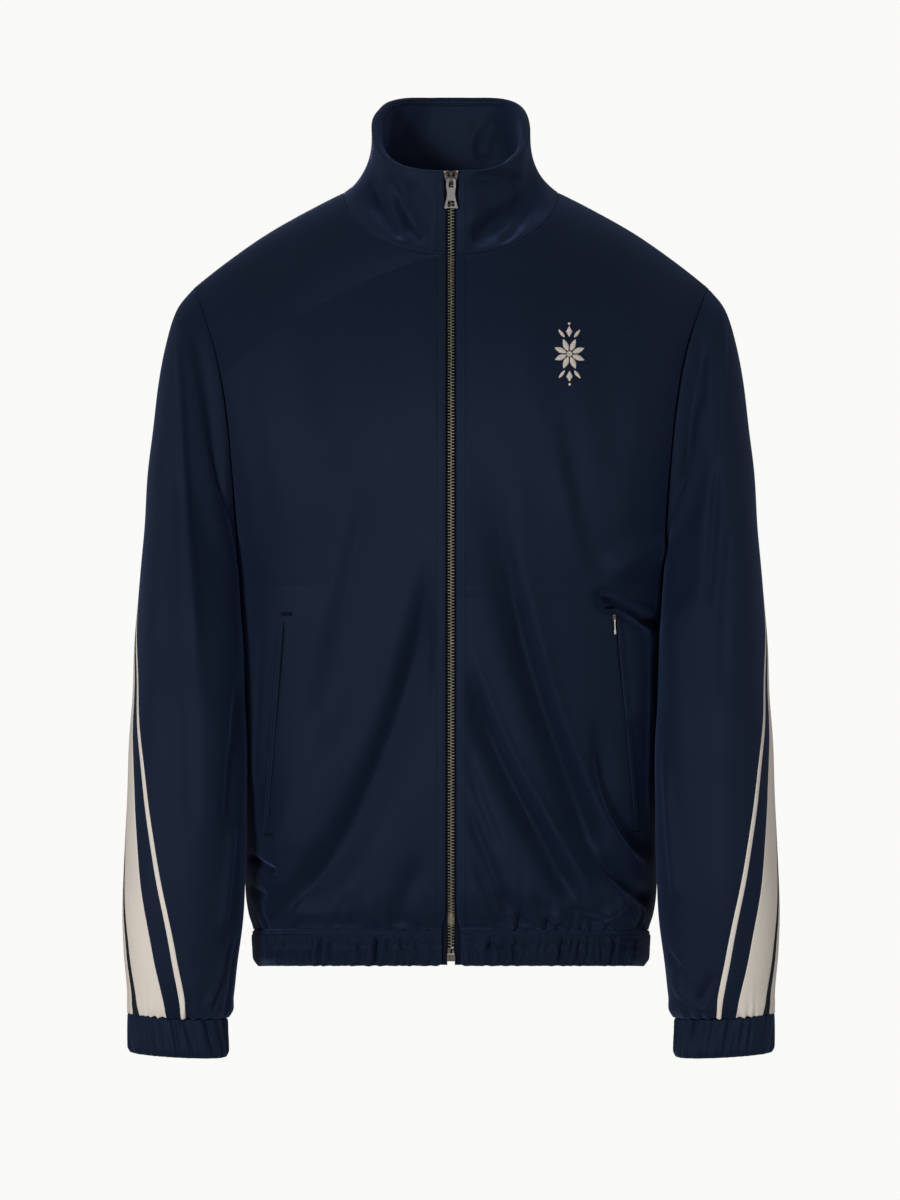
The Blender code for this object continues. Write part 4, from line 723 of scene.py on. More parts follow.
COLLAR_HEIGHT = 84.0
COLLAR_HOLLOW = 5.5
ROLL_COLUMNS = ("turn", "radius")
COLLAR_ROLL = ((0.0, 2.3), (35.0, 2.5), (70.0, 4.1), (110.0, 4.4), (180.0, 4.4))
COLLAR_BACK_FOLDS = (
    (50.0, 82.0, 39.0, 64.0, 33.0, 50.0, 26.0, 30.0, 8, 7, 3.6),
    (42.0, 80.0, 28.0, 63.0, 17.0, 51.0, 4.0, 36.0, 6, 6, -2.2),
    (-54.0, 80.0, -47.0, 65.0, -44.0, 51.0, -38.0, 36.0, 10, 9, 2.8),
    (-32.0, 82.0, -40.0, 71.0, -48.0, 60.0, -56.0, 46.0, 4, 5, -1.4),
)
rim_roll = curve(COLLAR_ROLL, ROLL_COLUMNS, "turn", "radius")


def collar_grid():
    """The stand collar: outer face, thick rolled rim and inner face."""
    share = edge_places(COLLAR_AROUND, FINE_STEP)

    def turns(radius):
        first = math.degrees(math.asin(ZIP_EDGE_X / radius))
        return np.radians(first + (360.0 - 2 * first) * share)

    base_turn, rim_turn = turns(NECK_HALF_WIDTH), turns(RIM_HALF_WIDTH)
    base = np.degrees(base_turn)
    in_front = np.cos(base_turn) >= 0
    base_x = NECK_HALF_WIDTH * np.sin(base_turn)
    base_z = np.where(in_front, neck_height(base, -1), neck_height(180.0 - base, 1))
    base_y = np.where(in_front, trunk_y(base_x, base_z, -1), trunk_y(base_x, base_z, 1))
    rim_x = RIM_HALF_WIDTH * np.sin(rim_turn)
    rim_y = sum(RIM_Y) / 2 - (RIM_Y[1] - RIM_Y[0]) / 2 * np.cos(rim_turn)
    backwards = np.clip((rim_y - RIM_Y[0]) / (RIM_Y[1] - RIM_Y[0]), 0.0, 1.0)
    rim_z = RIM_Z[0] + (RIM_Z[1] - RIM_Z[0]) * np.sin(backwards * np.pi / 2) ** RIM_RISE_POWER
    bottom, top = (np.stack(p, axis=-1)[None] for p in ((base_x, base_y, base_z), (rim_x, rim_y, rim_z)))
    away = smooth((np.abs(base_x) - 14.0) / 34.0)
    power = (1.0 + 1.6 * away + 1.0 * np.sin(base_turn) ** 2)[None, :]
    radius = rim_roll(180.0 - np.abs(np.degrees(rim_turn) - 180.0))[None, :]
    stop = 1.0 - radius / COLLAR_HEIGHT

    def face(up):
        flared = top + (bottom - top) * ((1.0 - up) ** power)[..., None]
        level = bottom + (top - bottom) * up[..., None]
        points = np.concatenate([flared[..., :2], level[..., 2:]], axis=-1)
        hollow = COLLAR_HOLLOW * away * smooth(up / 0.34) * (1.0 - smooth((up - 0.4) / 0.55))
        hollow = hollow * smooth((-24.0 - points[..., 1]) / 30.0)
        return points - normals_of(points) * hollow[..., None]

    def dressed(up, share_of_folds):
        points = face(up)
        normals = normals_of(points)
        x, y, z = points[..., 0], points[..., 1], points[..., 2]
        room = smooth(up / 0.12) * smooth((np.abs(x) - 13.0) / 8.0)
        height = fold_height(COLLAR_FOLDS, x, z + NECK_FRONT_DROP) * smooth(-y / 16.0)
        height = height + 0.5 * drape(x + y, z, 19, 60.0)
        height = height + fold_height(COLLAR_BACK_FOLDS, x, z) * smooth(y / 16.0)
        return points + normals * (height * room * share_of_folds)[..., None], normals

    tuck = np.array([[0.0], [0.003], [0.011], [0.024]])
    tuck_depth = np.array([[2.3], [1.1], [0.3], [0.0]])
    outer_up = np.concatenate([tuck, np.linspace(0.045, 1.0, 34)[:, None]]) * stop
    outer, outer_normals = dressed(outer_up, 1.0)
    outer[:4] -= outer_normals[:4] * (tuck_depth * (1.0 - 0.75 * np.sin(base_turn) ** 12))[..., None]
    rim, normal = outer[-1:], outer_normals[-1:]
    upward = unit(outer[-1:] - outer[-3:-2])
    turn = np.radians(np.linspace(0.0, 180.0, 11))[1:, None, None]
    roll = rim + (upward * np.sin(turn) - normal * (1.0 - np.cos(turn))) * radius[..., None]
    near_rim = [0.99, 0.981, 0.972, 0.963, 0.954, 0.94]
    inner_up = np.concatenate([near_rim, np.linspace(0.92, 0.012, 23)])[:, None] * stop
    inner, inner_normals = dressed(inner_up[::-1], 0.8)
    crease = 0.9 * np.exp(-((inner_up[::-1] / stop - 0.968) / 0.009) ** 2)
    inner = inner - inner_normals * (2.0 * radius * (0.55 + 0.45 * inner_up[::-1] / stop) - crease)[..., None]
    whole = to_zip(np.concatenate([outer, roll, inner[::-1]]))
    return pinch(whole, {"first_column": 1.0, "last_column": 1.0}, depth=1.2)


def band_line(z, shares):
    power = 2.0 / SQUARENESS
    turn = np.linspace(0.0, np.pi / 2, 200)
    x = np.maximum(half_width(z) * np.sin(turn) ** power, HEM_END_X)
    quarter = [np.stack([x, trunk_y(x, z, facing), np.full_like(x, z)], axis=-1) for facing in (-1, 1)]
    behind = quarter[1][::-1].copy()
    behind[-1, 0] = 0.0
    left = dipped(np.concatenate([quarter[0], behind[1:]]))
    left = left[np.concatenate([[True], np.linalg.norm(np.diff(left, axis=0), axis=1) > 1e-6])]
    line = np.concatenate([left, left[::-1][1:] * TO_RIGHT])
    run = np.concatenate([[0.0], np.cumsum(np.linalg.norm(np.diff(line, axis=0), axis=1))])
    return np.stack([np.interp(shares * run[-1], run, line[:, i]) for i in range(3)], axis=1)


def band_grid():
    """The hem band: tucked seam, narrow ridge, puckered face, rolled lower edge and inner face."""
    down, inset = folded_profile(HEM_SEAM_Z - HEM_BOTTOM_Z, 1.8)
    ridge_rows = np.array([1.2, 1.7, 2.2, 2.6, 2.9, 3.15, 3.4, 3.7, 4.1, 4.7, 5.4, 6.1])[:, None]
    below = down[:, 0] > 6.8
    rows = np.concatenate([down[:3], ridge_rows, down[below]])
    insets = np.concatenate([inset[:3], np.zeros_like(ridge_rows), inset[below]])
    insets[0] = BAND_FLANGE
    rolled = int(np.argmax(rows[:, 0] > 30.0))
    shares = edge_places(BAND_AROUND, FINE_STEP)
    points = np.array([band_line(float(HEM_SEAM_Z - row), shares) for row in rows[:, 0]])
    normals = -normals_of(points[:rolled])
    normals = np.concatenate([normals, np.repeat(normals[-1:], len(points) - rolled, axis=0)])
    place = shares[None, :] * BAND_AROUND
    ax = np.abs(points[..., 0])
    on_face = np.where(points[..., 1] < 0, smooth((ax - 13.0) / 6.0), 1.0)
    at_side = np.repeat(smooth((np.abs(normals_of(points)[:1, :, 0]) - 0.5) / 0.4), len(points), axis=0)
    fade = smooth((rows - 3.4) / 9.0) * (1.0 - 0.3 * smooth((rows - 16.0) / 14.0))
    fade = fade * (1.0 - 0.4 * smooth((ax - 110) / 50))
    puckers = wander(place + 0.15 * rows, 61, 10.0) + 0.45 * wander(place - 0.2 * rows, 62, 4.6)
    puckers = puckers * BAND_PUCKERS * fade
    ridge = 0.8 * np.exp(-((rows - 1.8) / 0.8) ** 2) - 1.2 * np.exp(-((rows - 3.2) / 0.45) ** 2)
    out = (puckers * (1.0 - 0.9 * at_side) + ridge * (1.0 - 0.6 * at_side)) * on_face
    out = out * np.where((insets > 1.8) & (rows > 1.0), 0.3, 1.0) - BAND_INSET * on_face
    out = out + 1.8 * at_side * smooth(rows / 6.0) - 3.6 * at_side * smooth((rows - 22.0) / 9.5) ** 2
    points = points + normals * (out - insets)[..., None]
    corner = np.clip(1.0 - (ax - HEM_END_X) / 4.5, 0.0, 1.0) * (points[..., 1] < 0)
    points[..., 2] += 4.5 * (1.0 - np.sqrt(1.0 - corner ** 2)) * rows / rows.max()
    return pinch(points, {"first_column": 1.0, "last_column": 1.0}, depth=-1.2)


# ---------------------------------------------------------------- meshes

def mesh_object(name, points, faces, material, uvs=None):
    mesh = bpy.data.meshes.new(name)
    mesh.from_pydata((np.asarray(points) * MM).tolist(), [], faces)
    mesh.validate()
    mesh.shade_smooth()
    if uvs is not None:
        layer = mesh.uv_layers.new(name="cloth")
        corners = np.zeros(len(mesh.loops), int)
        mesh.loops.foreach_get("vertex_index", corners)
        layer.data.foreach_set("uv", (uvs[corners] * MM).ravel())
    mesh.materials.append(material)
    thing = bpy.data.objects.new(name, mesh)
    bpy.context.scene.collection.objects.link(thing)
    return thing


def grid_faces(rows, columns, first=0, closed=False):
    quads = []
    for row in range(rows - 1):
        for column in range(columns if closed else columns - 1):
            beside = (column + 1) % columns
            low, high = first + row * columns, first + (row + 1) * columns
            quads.append((low + column, low + beside, high + beside, high + column))
    return quads


def skin(name, points, material, flip=False, closed=False):
    """A cloth surface from a grid, with its threads' directions as UVs in metres."""
    along = lengths(points, 1)
    along = along - along[:, along.shape[1] // 2:along.shape[1] // 2 + 1]
    up = np.repeat(lengths(points, 0)[:, points.shape[1] // 2][:, None], points.shape[1], axis=1)
    uvs = np.stack([along, up], axis=-1)
    if closed:
        points, uvs = points[:, :-1], uvs[:, :-1]
    faces = grid_faces(*points.shape[:2], closed=closed)
    if flip:
        faces = [face[::-1] for face in faces]
    return mesh_object(name, points.reshape(-1, 3), faces, material, uvs.reshape(-1, 2))


def mirrored(points):
    return points[:, ::-1] * TO_RIGHT


class Reader:
    """Drops points at x, z from the front onto a cloth's outer face, and gives its normal there."""

    def __init__(self, thing):
        places = [v.co / MM for v in thing.data.vertices]
        self.tree = BVHTree.FromPolygons(places, [tuple(p.vertices) for p in thing.data.polygons])

    def __call__(self, x, z):
        place, normal, _, _ = self.tree.ray_cast(Vector((x, -400.0, z)), BACKWARDS)
        if place is None:
            place, normal, _, _ = self.tree.find_nearest(Vector((x, -100.0, z)))
        return place, (normal if normal.dot(BACKWARDS) < 0 else -normal)


# ---------------------------------------------------------------- materials

def new_material(name):
    material = bpy.data.materials.new(name)
    material.use_nodes = True
    nodes = material.node_tree.nodes
    return material, nodes, material.node_tree.links, nodes["Principled BSDF"]


def set_inputs(node, **values):
    for name, value in values.items():
        node.inputs[name.replace("_", " ")].default_value = value


def add_node(nodes, kind, **values):
    """A node with its settings, and with its inputs' values, which start with in_."""
    node = nodes.new(kind)
    for key, value in values.items():
        if key.startswith("in_"):
            set_inputs(node, **{key[3:]: value})
        else:
            setattr(node, key, value)
    return node


def wire(links, *rows):
    """Links, each as (from node, output, to node, input)."""
    for source, output, target, entry in rows:
        links.new(source.outputs[output], target.inputs[entry])


def shades(colour, change):
    """A colour darker and lighter by a share."""
    return (tuple(min(1.0, c * share) for c in colour) + (1.0,) for share in (1 - change, 1 + change))


WALE_PITCH = 0.0009


def tricot(name, colour, sheen=0.0, sheen_tint=(1, 1, 1), roughness=0.6, level=0.25, tint=(1, 1, 1),
           grain=0.16, bump=0.25):
    """Warp-knit jersey: fine wales along the cloth, a small grain, and a soft sheen."""
    material, nodes, links, shader = new_material(name)
    uv = add_node(nodes, "ShaderNodeUVMap", uv_map="cloth")
    wales = add_node(nodes, "ShaderNodeTexWave", wave_type="BANDS", bands_direction="X", wave_profile="SIN",
                     in_Scale=2 * math.pi / 20.0 / WALE_PITCH, in_Distortion=0.4, in_Detail=1.0)
    stretch = add_node(nodes, "ShaderNodeMapping", in_Scale=(1.0, 0.55, 1.0))
    speck = add_node(nodes, "ShaderNodeTexNoise", in_Scale=700.0, in_Detail=3.0, in_Roughness=0.7)
    cloud = add_node(nodes, "ShaderNodeTexNoise", in_Scale=14.0, in_Detail=3.0)
    low, high = shades(colour, grain)
    mix = add_node(nodes, "ShaderNodeMix", data_type="RGBA", in_A=low, in_B=high)
    blend = add_node(nodes, "ShaderNodeMath", operation="MULTIPLY_ADD")
    blend.inputs[1].default_value = 1.5
    blend.inputs[2].default_value = -0.25
    soft = add_node(nodes, "ShaderNodeMix", data_type="RGBA", blend_type="MULTIPLY", in_Factor=0.25)
    ramp = add_node(nodes, "ShaderNodeMapRange", in_To_Min=0.7, in_To_Max=1.3)
    height = add_node(nodes, "ShaderNodeMath", operation="ADD")
    raised = add_node(nodes, "ShaderNodeBump", in_Strength=bump, in_Distance=0.0003)
    wire(links, (uv, "UV", wales, "Vector"), (uv, "UV", stretch, "Vector"), (uv, "UV", cloud, "Vector"),
         (stretch, "Vector", speck, "Vector"), (speck, "Fac", blend, 0), (blend, 0, mix, "Factor"),
         (cloud, "Fac", ramp, "Value"), (mix, "Result", soft, "A"), (ramp, "Result", soft, "B"),
         (soft, "Result", shader, "Base Color"), (wales, "Fac", height, 0), (speck, "Fac", height, 1),
         (height, 0, raised, "Height"), (raised, "Normal", shader, "Normal"))
    set_inputs(shader, Roughness=roughness, Specular_IOR_Level=level, Specular_Tint=tint + (1.0,),
               Sheen_Weight=sheen, Sheen_Roughness=0.45, Sheen_Tint=sheen_tint + (1.0,))
    return material


def metal(name, colour, roughness, wear=0.25):
    """Plated metal, darker in uneven patches."""
    material, nodes, links, shader = new_material(name)
    place = add_node(nodes, "ShaderNodeTexCoord")
    patches = add_node(nodes, "ShaderNodeTexNoise", in_Scale=420.0, in_Detail=4.0)
    low, high = shades(colour, wear)
    mix = add_node(nodes, "ShaderNodeMix", data_type="RGBA", in_A=low, in_B=high)
    rough = add_node(nodes, "ShaderNodeMapRange", in_To_Min=roughness * 0.75, in_To_Max=roughness * 1.3)
    wire(links, (place, "Object", patches, "Vector"), (patches, "Fac", mix, "Factor"),
         (mix, "Result", shader, "Base Color"), (patches, "Fac", rough, "Value"),
         (rough, "Result", shader, "Roughness"))
    set_inputs(shader, Metallic=1.0)
    return material


SHEEN_BLUE = (0.30, 0.48, 1.0)
navy = tricot("navy_tricot", NAVY, sheen=0.22, sheen_tint=SHEEN_BLUE, roughness=0.58, level=0.29,
              tint=(0.45, 0.62, 1.0), grain=0.3, bump=0.45)
beige = tricot("beige_tricot", BEIGE, sheen=0.05, roughness=0.7, grain=0.06)
black = tricot("black_tricot", BLACK, sheen=0.02, roughness=0.7)
tape = tricot("zip_tape_weave", (0.004, 0.007, 0.017), roughness=0.85, level=0.1, bump=0.5)
# Near-black cloth laid along each pocket slit: painted shadow where the slit's opening lies in shade
slit_painted_shadow = tricot("pocket_slit_painted_shadow", (0.0012, 0.0022, 0.005), roughness=0.9, level=0.05)
navy_thread = tricot("navy_thread", (0.004, 0.008, 0.019), roughness=0.8, level=0.1)
beige_thread = tricot("beige_thread", (0.72, 0.65, 0.57), roughness=0.5, level=0.4, grain=0.1)
teeth_metal = metal("teeth_metal", (0.84, 0.77, 0.62), 0.30)
dark_metal = metal("dark_metal", (0.22, 0.20, 0.17), 0.34)
pull_metal = metal("pull_metal", (0.78, 0.75, 0.70), 0.24, wear=0.12)


# ---------------------------------------------------------------- cloth pieces

def declare(thing, nodes):
    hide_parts(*nodes)
    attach(thing, "jacket")
    return thing


front_base, front_height = half_panel(-1)
back_base, back_height = half_panel(1)
fronts = {}
for side, sign in SIDES:
    folds = LEFT_FOLDS if sign > 0 else RIGHT_FOLDS
    grid = dress_panel(front_base, front_height, folds, LEFT_FRONT_SEED if sign > 0 else 200, True)
    grid = pinch(grid, {"first_row": 1.2, "last_row": 1.2, "first_column": 1.0, "last_column": 0.7})
    fronts[side] = skin(f"cloth_front_{side}", grid if sign > 0 else mirrored(grid), navy)
    declare(fronts[side], [f"front_{side}"])

halves = []
for side, sign in SIDES:
    folds = BACK_LEFT_FOLDS if sign > 0 else BACK_RIGHT_FOLDS
    grid = dress_panel(back_base, back_height, folds, 300 if sign > 0 else 400, False)
    grid = pinch(grid, {"first_row": 1.2, "last_row": 0.9, "last_column": 0.7}, depth=-1.3)
    halves.append(grid[:, ::-1] if sign > 0 else grid * TO_RIGHT)
left, right = halves
middle_row = (left[:, -1] + right[:, 0]) / 2
meets = np.abs(left[:, -1, 0]) < 0.5
left[meets, -1] = middle_row[meets]
right[meets, 0] = middle_row[meets]
count = left.shape[0] * left.shape[1]
points = np.concatenate([left.reshape(-1, 3), right.reshape(-1, 3)])
faces = grid_faces(*left.shape[:2]) + grid_faces(*right.shape[:2], first=count)
back_uv = np.concatenate([
    np.stack([-(g[..., 0]), g[..., 2]], axis=-1).reshape(-1, 2) for g in (left, right)])
back = mesh_object("cloth_back", points, faces, navy, back_uv)
declare(back, ["back"])

collar_points = collar_grid()
collar = skin("cloth_collar", collar_points, navy)
declare(collar, ["collar"])

band = skin("cloth_hem_band", band_grid()[::-1], navy)
declare(band, ["hem_band"])

cuff = cuff_grid()
STRIPS = (
    ("pipe", "front", "pipe_back", 5.0, beige, "beige_jersey"),
    ("band", "pipe_back", "band_back", 14.0, navy, "navy_jersey"),
    ("panel", "band_back", "panel_back", 36.0, beige, "beige_jersey"),
    ("line", "panel_back", "line_back", 8.0, black, "black_jersey"),
    ("gusset", "line_back", "back", 32.0, beige, "beige_jersey"),
)
for side, sign in SIDES:
    turn_over = (lambda g: g) if sign > 0 else mirrored
    sleeve = skin(f"cloth_sleeve_{side}", turn_over(sleeve_main(side)), navy)
    declare(sleeve, [f"sleeve_{side}"])
    for name, front, behind, width, material, slot in STRIPS:
        grid = sleeve_strip(side, front, behind, width)
        strip = skin(f"cloth_stripe_{name}_{side}", turn_over(grid), material)
        declare(strip, [f"stripe_{name}_{side}"])
    ring_piece = skin(f"cloth_cuff_{side}", turn_over(cuff), navy, flip=True, closed=True)
    declare(ring_piece, [f"cuff_{side}"])


# ---------------------------------------------------------------- zip

def opening_depth(z):
    """Depth of the cloth at the front opening."""
    neck_y = float(trunk_y(ZIP_EDGE_X, -NECK_FRONT_DROP, -1))
    collar_front = np.interp(z, [-NECK_FRONT_DROP, RIM_Z[0]], [neck_y, RIM_Y[0]])
    return np.where(np.asarray(z) > -NECK_FRONT_DROP, collar_front, trunk_y(ZIP_EDGE_X, z, -1))


def zip_frame(z):
    ahead, behind = float(opening_depth(z + 1.0)), float(opening_depth(z - 1.0))
    up = Vector((0.0, ahead - behind, 2.0)).normalized()
    return Vector((0.0, float(opening_depth(z)), z)), up, Vector((1.0, 0.0, 0.0)).cross(up)


def bevelled(name, points, faces, material, width):
    thing = mesh_object(name, points, faces, material)
    bevel = thing.modifiers.new("bevel", "BEVEL")
    bevel.width = width * MM
    bevel.segments = 2
    bevel.limit_method = "ANGLE"
    bevel.angle_limit = math.radians(30)
    thing.data.set_sharp_from_angle(angle=math.radians(40))
    return thing


def prism(outline, low, high):
    count = len(outline)
    points = [(a, b, low) for a, b in outline] + [(a, b, high) for a, b in outline]
    faces = [tuple(reversed(range(count))), tuple(range(count, 2 * count))]
    faces += [(i, (i + 1) % count, (i + 1) % count + count, i + count) for i in range(count)]
    return points, faces


def placed(place, up, out):
    turn = Matrix((up.cross(out).normalized(), up, out)).transposed()
    return Matrix.Translation(place * MM) @ turn.to_4x4()


def gather_parts(parts):
    """Joins (points, faces) parts into one."""
    points, faces = [], []
    for part_points, part_faces in parts:
        faces += [tuple(i + len(points) for i in face) for face in part_faces]
        points += [tuple(p) for p in part_points]
    return points, faces


TOOTH_BODY = (
    (0.45, -0.34), (2.30, -0.42), (2.80, -0.32), (3.00, 0.0), (2.80, 0.32), (2.30, 0.42), (0.45, 0.34),
)
TOOTH_HEAD = ((-0.55, -0.34), (0.70, -0.38), (0.70, 0.38), (-0.55, 0.34))


def loft(outline, levels):
    """A solid through scaled copies of an outline: each level is (height, x scale, y scale, x shift)."""
    count = len(outline)
    points = [(a * sx + shift, b * sy, height) for height, sx, sy, shift in levels for a, b in outline]
    faces = [tuple(reversed(range(count))), tuple(range((len(levels) - 1) * count, len(levels) * count))]
    for level in range(len(levels) - 1):
        low, high = level * count, (level + 1) * count
        faces += [(low + i, low + (i + 1) % count, high + (i + 1) % count, high + i) for i in range(count)]
    return points, faces


def tooth_part(sign):
    """One tooth: x across, y up the zip, z out of the cloth. Its head meets the other side's."""
    tilt = math.radians(6.0)
    parts = [loft(TOOTH_BODY, ((-1.3, 1.0, 1.0, 0.0), (0.45, 1.0, 1.0, 0.0), (0.95, 0.93, 0.80, 0.12),
                               (1.15, 0.80, 0.45, 0.36))),
             loft(TOOTH_HEAD, ((-1.3, 1.0, 1.0, 0.0), (0.35, 1.0, 1.0, 0.0), (0.62, 0.9, 0.6, 0.0)))]
    points, faces = gather_parts(parts)
    turned = [(sign * (a * math.cos(tilt) - b * math.sin(tilt)), a * math.sin(tilt) + b * math.cos(tilt), c)
              for a, b, c in points]
    if sign < 0:
        faces = [face[::-1] for face in faces]
    return turned, faces


def build_teeth():
    parts = []
    z, index = TEETH_BOTTOM_Z, 0
    while z < SLIDER_BOTTOM_Z + 1.0:
        place, up, out = zip_frame(z)
        points, faces = tooth_part(1.0 if index % 2 else -1.0)
        points = [place + Vector((a, 0, 0)) + up * b + out * (c - CHAIN_DEPTH - 0.6) for a, b, c in points]
        parts.append((points, faces))
        z += TOOTH_PITCH / 2 * up.z
        index += 1
    teeth = mesh_object("zip_teeth", *gather_parts(parts), teeth_metal)
    teeth.data.set_sharp_from_angle(angle=math.radians(35))
    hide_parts("zip_chain")
    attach(teeth, "jacket")


build_teeth()


def rounded_outline(half_bottom, half_top, bottom, top, radius):
    corners = [(half_bottom, bottom, -90), (half_top, top, 0),
               (-half_top, top, 90), (-half_bottom, bottom, 180)]
    outline = []
    for x, y, start in corners:
        cx, cy = x - math.copysign(radius, x), y + (radius if y == bottom else -radius)
        for i in range(5):
            a = math.radians(start + 90 * i / 4)
            outline.append((cx + radius * math.cos(a), cy + radius * math.sin(a)))
    return outline


def build_box():
    """The retainer at the zip's foot: two pins, a bright collar and the box below it."""
    place, up, out = zip_frame(-662.0)
    dark = [prism(rounded_outline(3.6, 3.6, -5.4, 0.0, 0.8), -1.7, 1.2),
            prism(rounded_outline(1.15, 1.15, 0.2, 5.6, 0.5), -1.7, 0.6),
            prism(rounded_outline(1.0, 1.0, 0.2, 4.6, 0.5), -1.7, 0.8)]
    for shift, part in ((-1.75, 1), (1.75, 2)):
        dark[part] = ([(a + shift, b, c) for a, b, c in dark[part][0]], dark[part][1])
    bright = [prism(rounded_outline(3.2, 3.2, 0.1, 1.5, 0.45), -1.2, 1.6),
              prism(rounded_outline(0.9, 0.9, 5.4, 7.0, 0.5), -1.2, 1.3)]
    bright[1] = ([(a + 1.3, b, c) for a, b, c in bright[1][0]], bright[1][1])
    pieces = (("zip_retainer", dark, dark_metal), ("retainer_collar", bright, teeth_metal))
    for name, parts, material in pieces:
        piece = bevelled(name, *gather_parts(parts), material, 0.25)
        piece.matrix_world = placed(place, up, out)
        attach(piece, "jacket")
        if name == "zip_retainer":
            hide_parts("zip_box")


build_box()

for side, _ in SIDES:
    node = frame["nodes"][f"zip_tape_{side}"]
    node.data.materials.clear()
    node.data.materials.append(tape)


SLIDER_BODY = (
    (4.0, 0.0), (4.15, 3.0), (5.2, 5.6), (6.0, 8.0), (6.2, 10.2), (5.5, 11.8), (3.6, 12.7),
    (1.8, 12.2), (0.0, 11.3),
)
# Side view of the bridge that holds the pull: (up the slider, out of the cloth)
BRIDGE_OUTER = (
    (0.2, 1.5), (0.5, 3.9), (1.4, 5.4), (2.8, 6.2), (4.6, 6.4), (7.0, 6.0), (9.2, 5.2),
    (10.6, 4.0), (11.0, 1.5),
)
NOSE = ((7.8, 2.4), (8.0, 4.6), (9.2, 5.5), (10.6, 5.0), (11.6, 3.6), (11.7, 2.4))
BRIDGE_INNER = ((9.6, 1.5), (9.2, 3.6), (7.0, 4.8), (5.0, 5.25), (3.6, 5.2), (2.7, 4.5), (2.5, 1.5))


def side_prism(outline, half):
    """A solid of a side view (up, out), as wide as twice `half` across the slider."""
    flat, faces = prism(outline, -half, half)
    return [(x, up, out) for up, out, x in flat], faces


def chevron(top, half, thick, low, high):
    """A raised V across the slider's face."""
    outline = [(-half, top), (0.0, top - half * 0.75), (half, top),
               (half, top - thick), (0.0, top - half * 0.75 - thick), (-half, top - thick)]
    return prism(outline[::-1], low, high)


def build_slider():
    place, up, out = zip_frame(SLIDER_BOTTOM_Z + 4.0)
    frame_at = placed(place - up * 4.0, up, out)
    right_half = list(SLIDER_BODY)
    body = right_half + [(-a, b) for a, b in right_half[-2::-1]]
    crown = [(0.86 * a, 0.4 + 0.93 * b) for a, b in body]
    rib_places = ((11.4, 4.6), (10.0, 4.6), (8.6, 4.4), (7.2, 3.9))
    parts = {"slider_body": [prism(body, -1.6, 1.7), prism(crown, 1.6, 2.6)]
             + [chevron(top, half, 0.55, 2.5, 2.95) for top, half in rib_places],
             "slider_bridge": [side_prism(BRIDGE_OUTER + BRIDGE_INNER, 1.1)],
             "slider_nose": [side_prism(NOSE, 1.8)]}
    for name, pieces in parts.items():
        piece = bevelled(name, *gather_parts(pieces), dark_metal, 0.22 if name == "slider_body" else 0.3)
        piece.matrix_world = frame_at
        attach(piece, "jacket")
        if name == "slider_body":
            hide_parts("zip_slider")
    for name, x, height in (("top_stop_left", 5.3, 11.4), ("top_stop_right", -5.5, 11.1)):
        block = prism(rounded_outline(0.85, 0.85, -0.8, 0.8, 0.4), 0.6, 2.9)
        stop = bevelled(name, *block, teeth_metal, 0.25)
        stop.matrix_world = frame_at @ Matrix.Translation(Vector((x, height, 0.0)) * MM)
        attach(stop, "jacket")


def cut(thing, name, points, faces):
    """Cuts a helper's shape out of a thing, and keeps the result as its mesh."""
    helper = mesh_object(name, points, faces, pull_metal)
    helper.matrix_world = thing.matrix_world.copy()
    change = thing.modifiers.new(name, "BOOLEAN")
    change.operation, change.object = "DIFFERENCE", helper
    bpy.context.view_layer.update()
    done = bpy.data.meshes.new_from_object(thing.evaluated_get(bpy.context.evaluated_depsgraph_get()))
    thing.modifiers.remove(change)
    thing.data = done
    bpy.data.objects.remove(helper)


def build_pull(name, node, body, half_outline, slot, cuts, thick, bevel, material):
    """A pull tab in its joint's frame: the bar's axis is at the origin, and it hangs down local -Y."""
    joint = next(j for j in frame["joints"] if j["child"] == body)
    axis = Vector(joint["axis"]).normalized()
    co = np.array([v.co for v in frame["nodes"][node].data.vertices]) - np.array(joint["pos_m"])
    centre = Vector(co.mean(axis=0))
    up = -(centre - axis * centre.dot(axis)).normalized()
    across = -axis
    outline = [(-a, b) for a, b in half_outline] + list(half_outline)[::-1]
    tab = mesh_object(name, *prism(outline, -thick, thick), material)
    for number, (shape, low, high) in enumerate([(slot, -3.0, 3.0)] + list(cuts)):
        cut(tab, f"{name}_cut_{number}", *prism(shape, low, high))
    edge = tab.modifiers.new("bevel", "BEVEL")
    edge.width, edge.segments, edge.limit_method = bevel * MM, 2, "ANGLE"
    tab.data.shade_smooth()
    tab.data.set_sharp_from_angle(angle=math.radians(35))
    turn = Matrix((across, up, across.cross(up))).transposed()
    tab.matrix_world = Matrix.Translation(Vector(joint["pos_m"])) @ turn.to_4x4()
    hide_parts(node)
    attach(tab, body)


build_slider()
# Half outlines of the pulls, from the bar down: (half width, height)
MAIN_PULL = (
    (2.5, 0.62), (3.5, 0.0), (4.0, -1.4), (4.1, -4.0), (4.0, -7.0), (3.55, -10.0), (3.25, -12.0),
    (3.4, -13.6), (3.9, -16.5), (4.8, -20.5), (5.6, -23.6), (5.75, -24.6), (5.2, -25.2),
    (4.2, -25.1), (2.0, -24.7),
)
MAIN_SLOT = (
    (-2.1, -7.2), (2.1, -7.2), (2.1, -2.6), (1.6, -1.1), (1.35, -0.65), (-1.35, -0.65),
    (-1.6, -1.1), (-2.1, -2.6),
)
SMALL_PULL = (
    (0.85, 0.3), (1.0, -0.6), (1.0, -2.6), (0.6, -4.2), (0.55, -9.5), (0.95, -12.2),
    (0.95, -14.0), (0.6, -14.8),
)
SMALL_SLOT = ((-0.72, -2.2), (0.72, -2.2), (0.72, -0.32), (-0.72, -0.32))
hole = [(a, b - 21.1) for a, b in rounded_outline(3.15, 2.85, -2.75, 2.75, 1.1)]
groove = [(-6.0, -12.55), (6.0, -12.55), (6.0, -11.95), (-6.0, -11.95)]
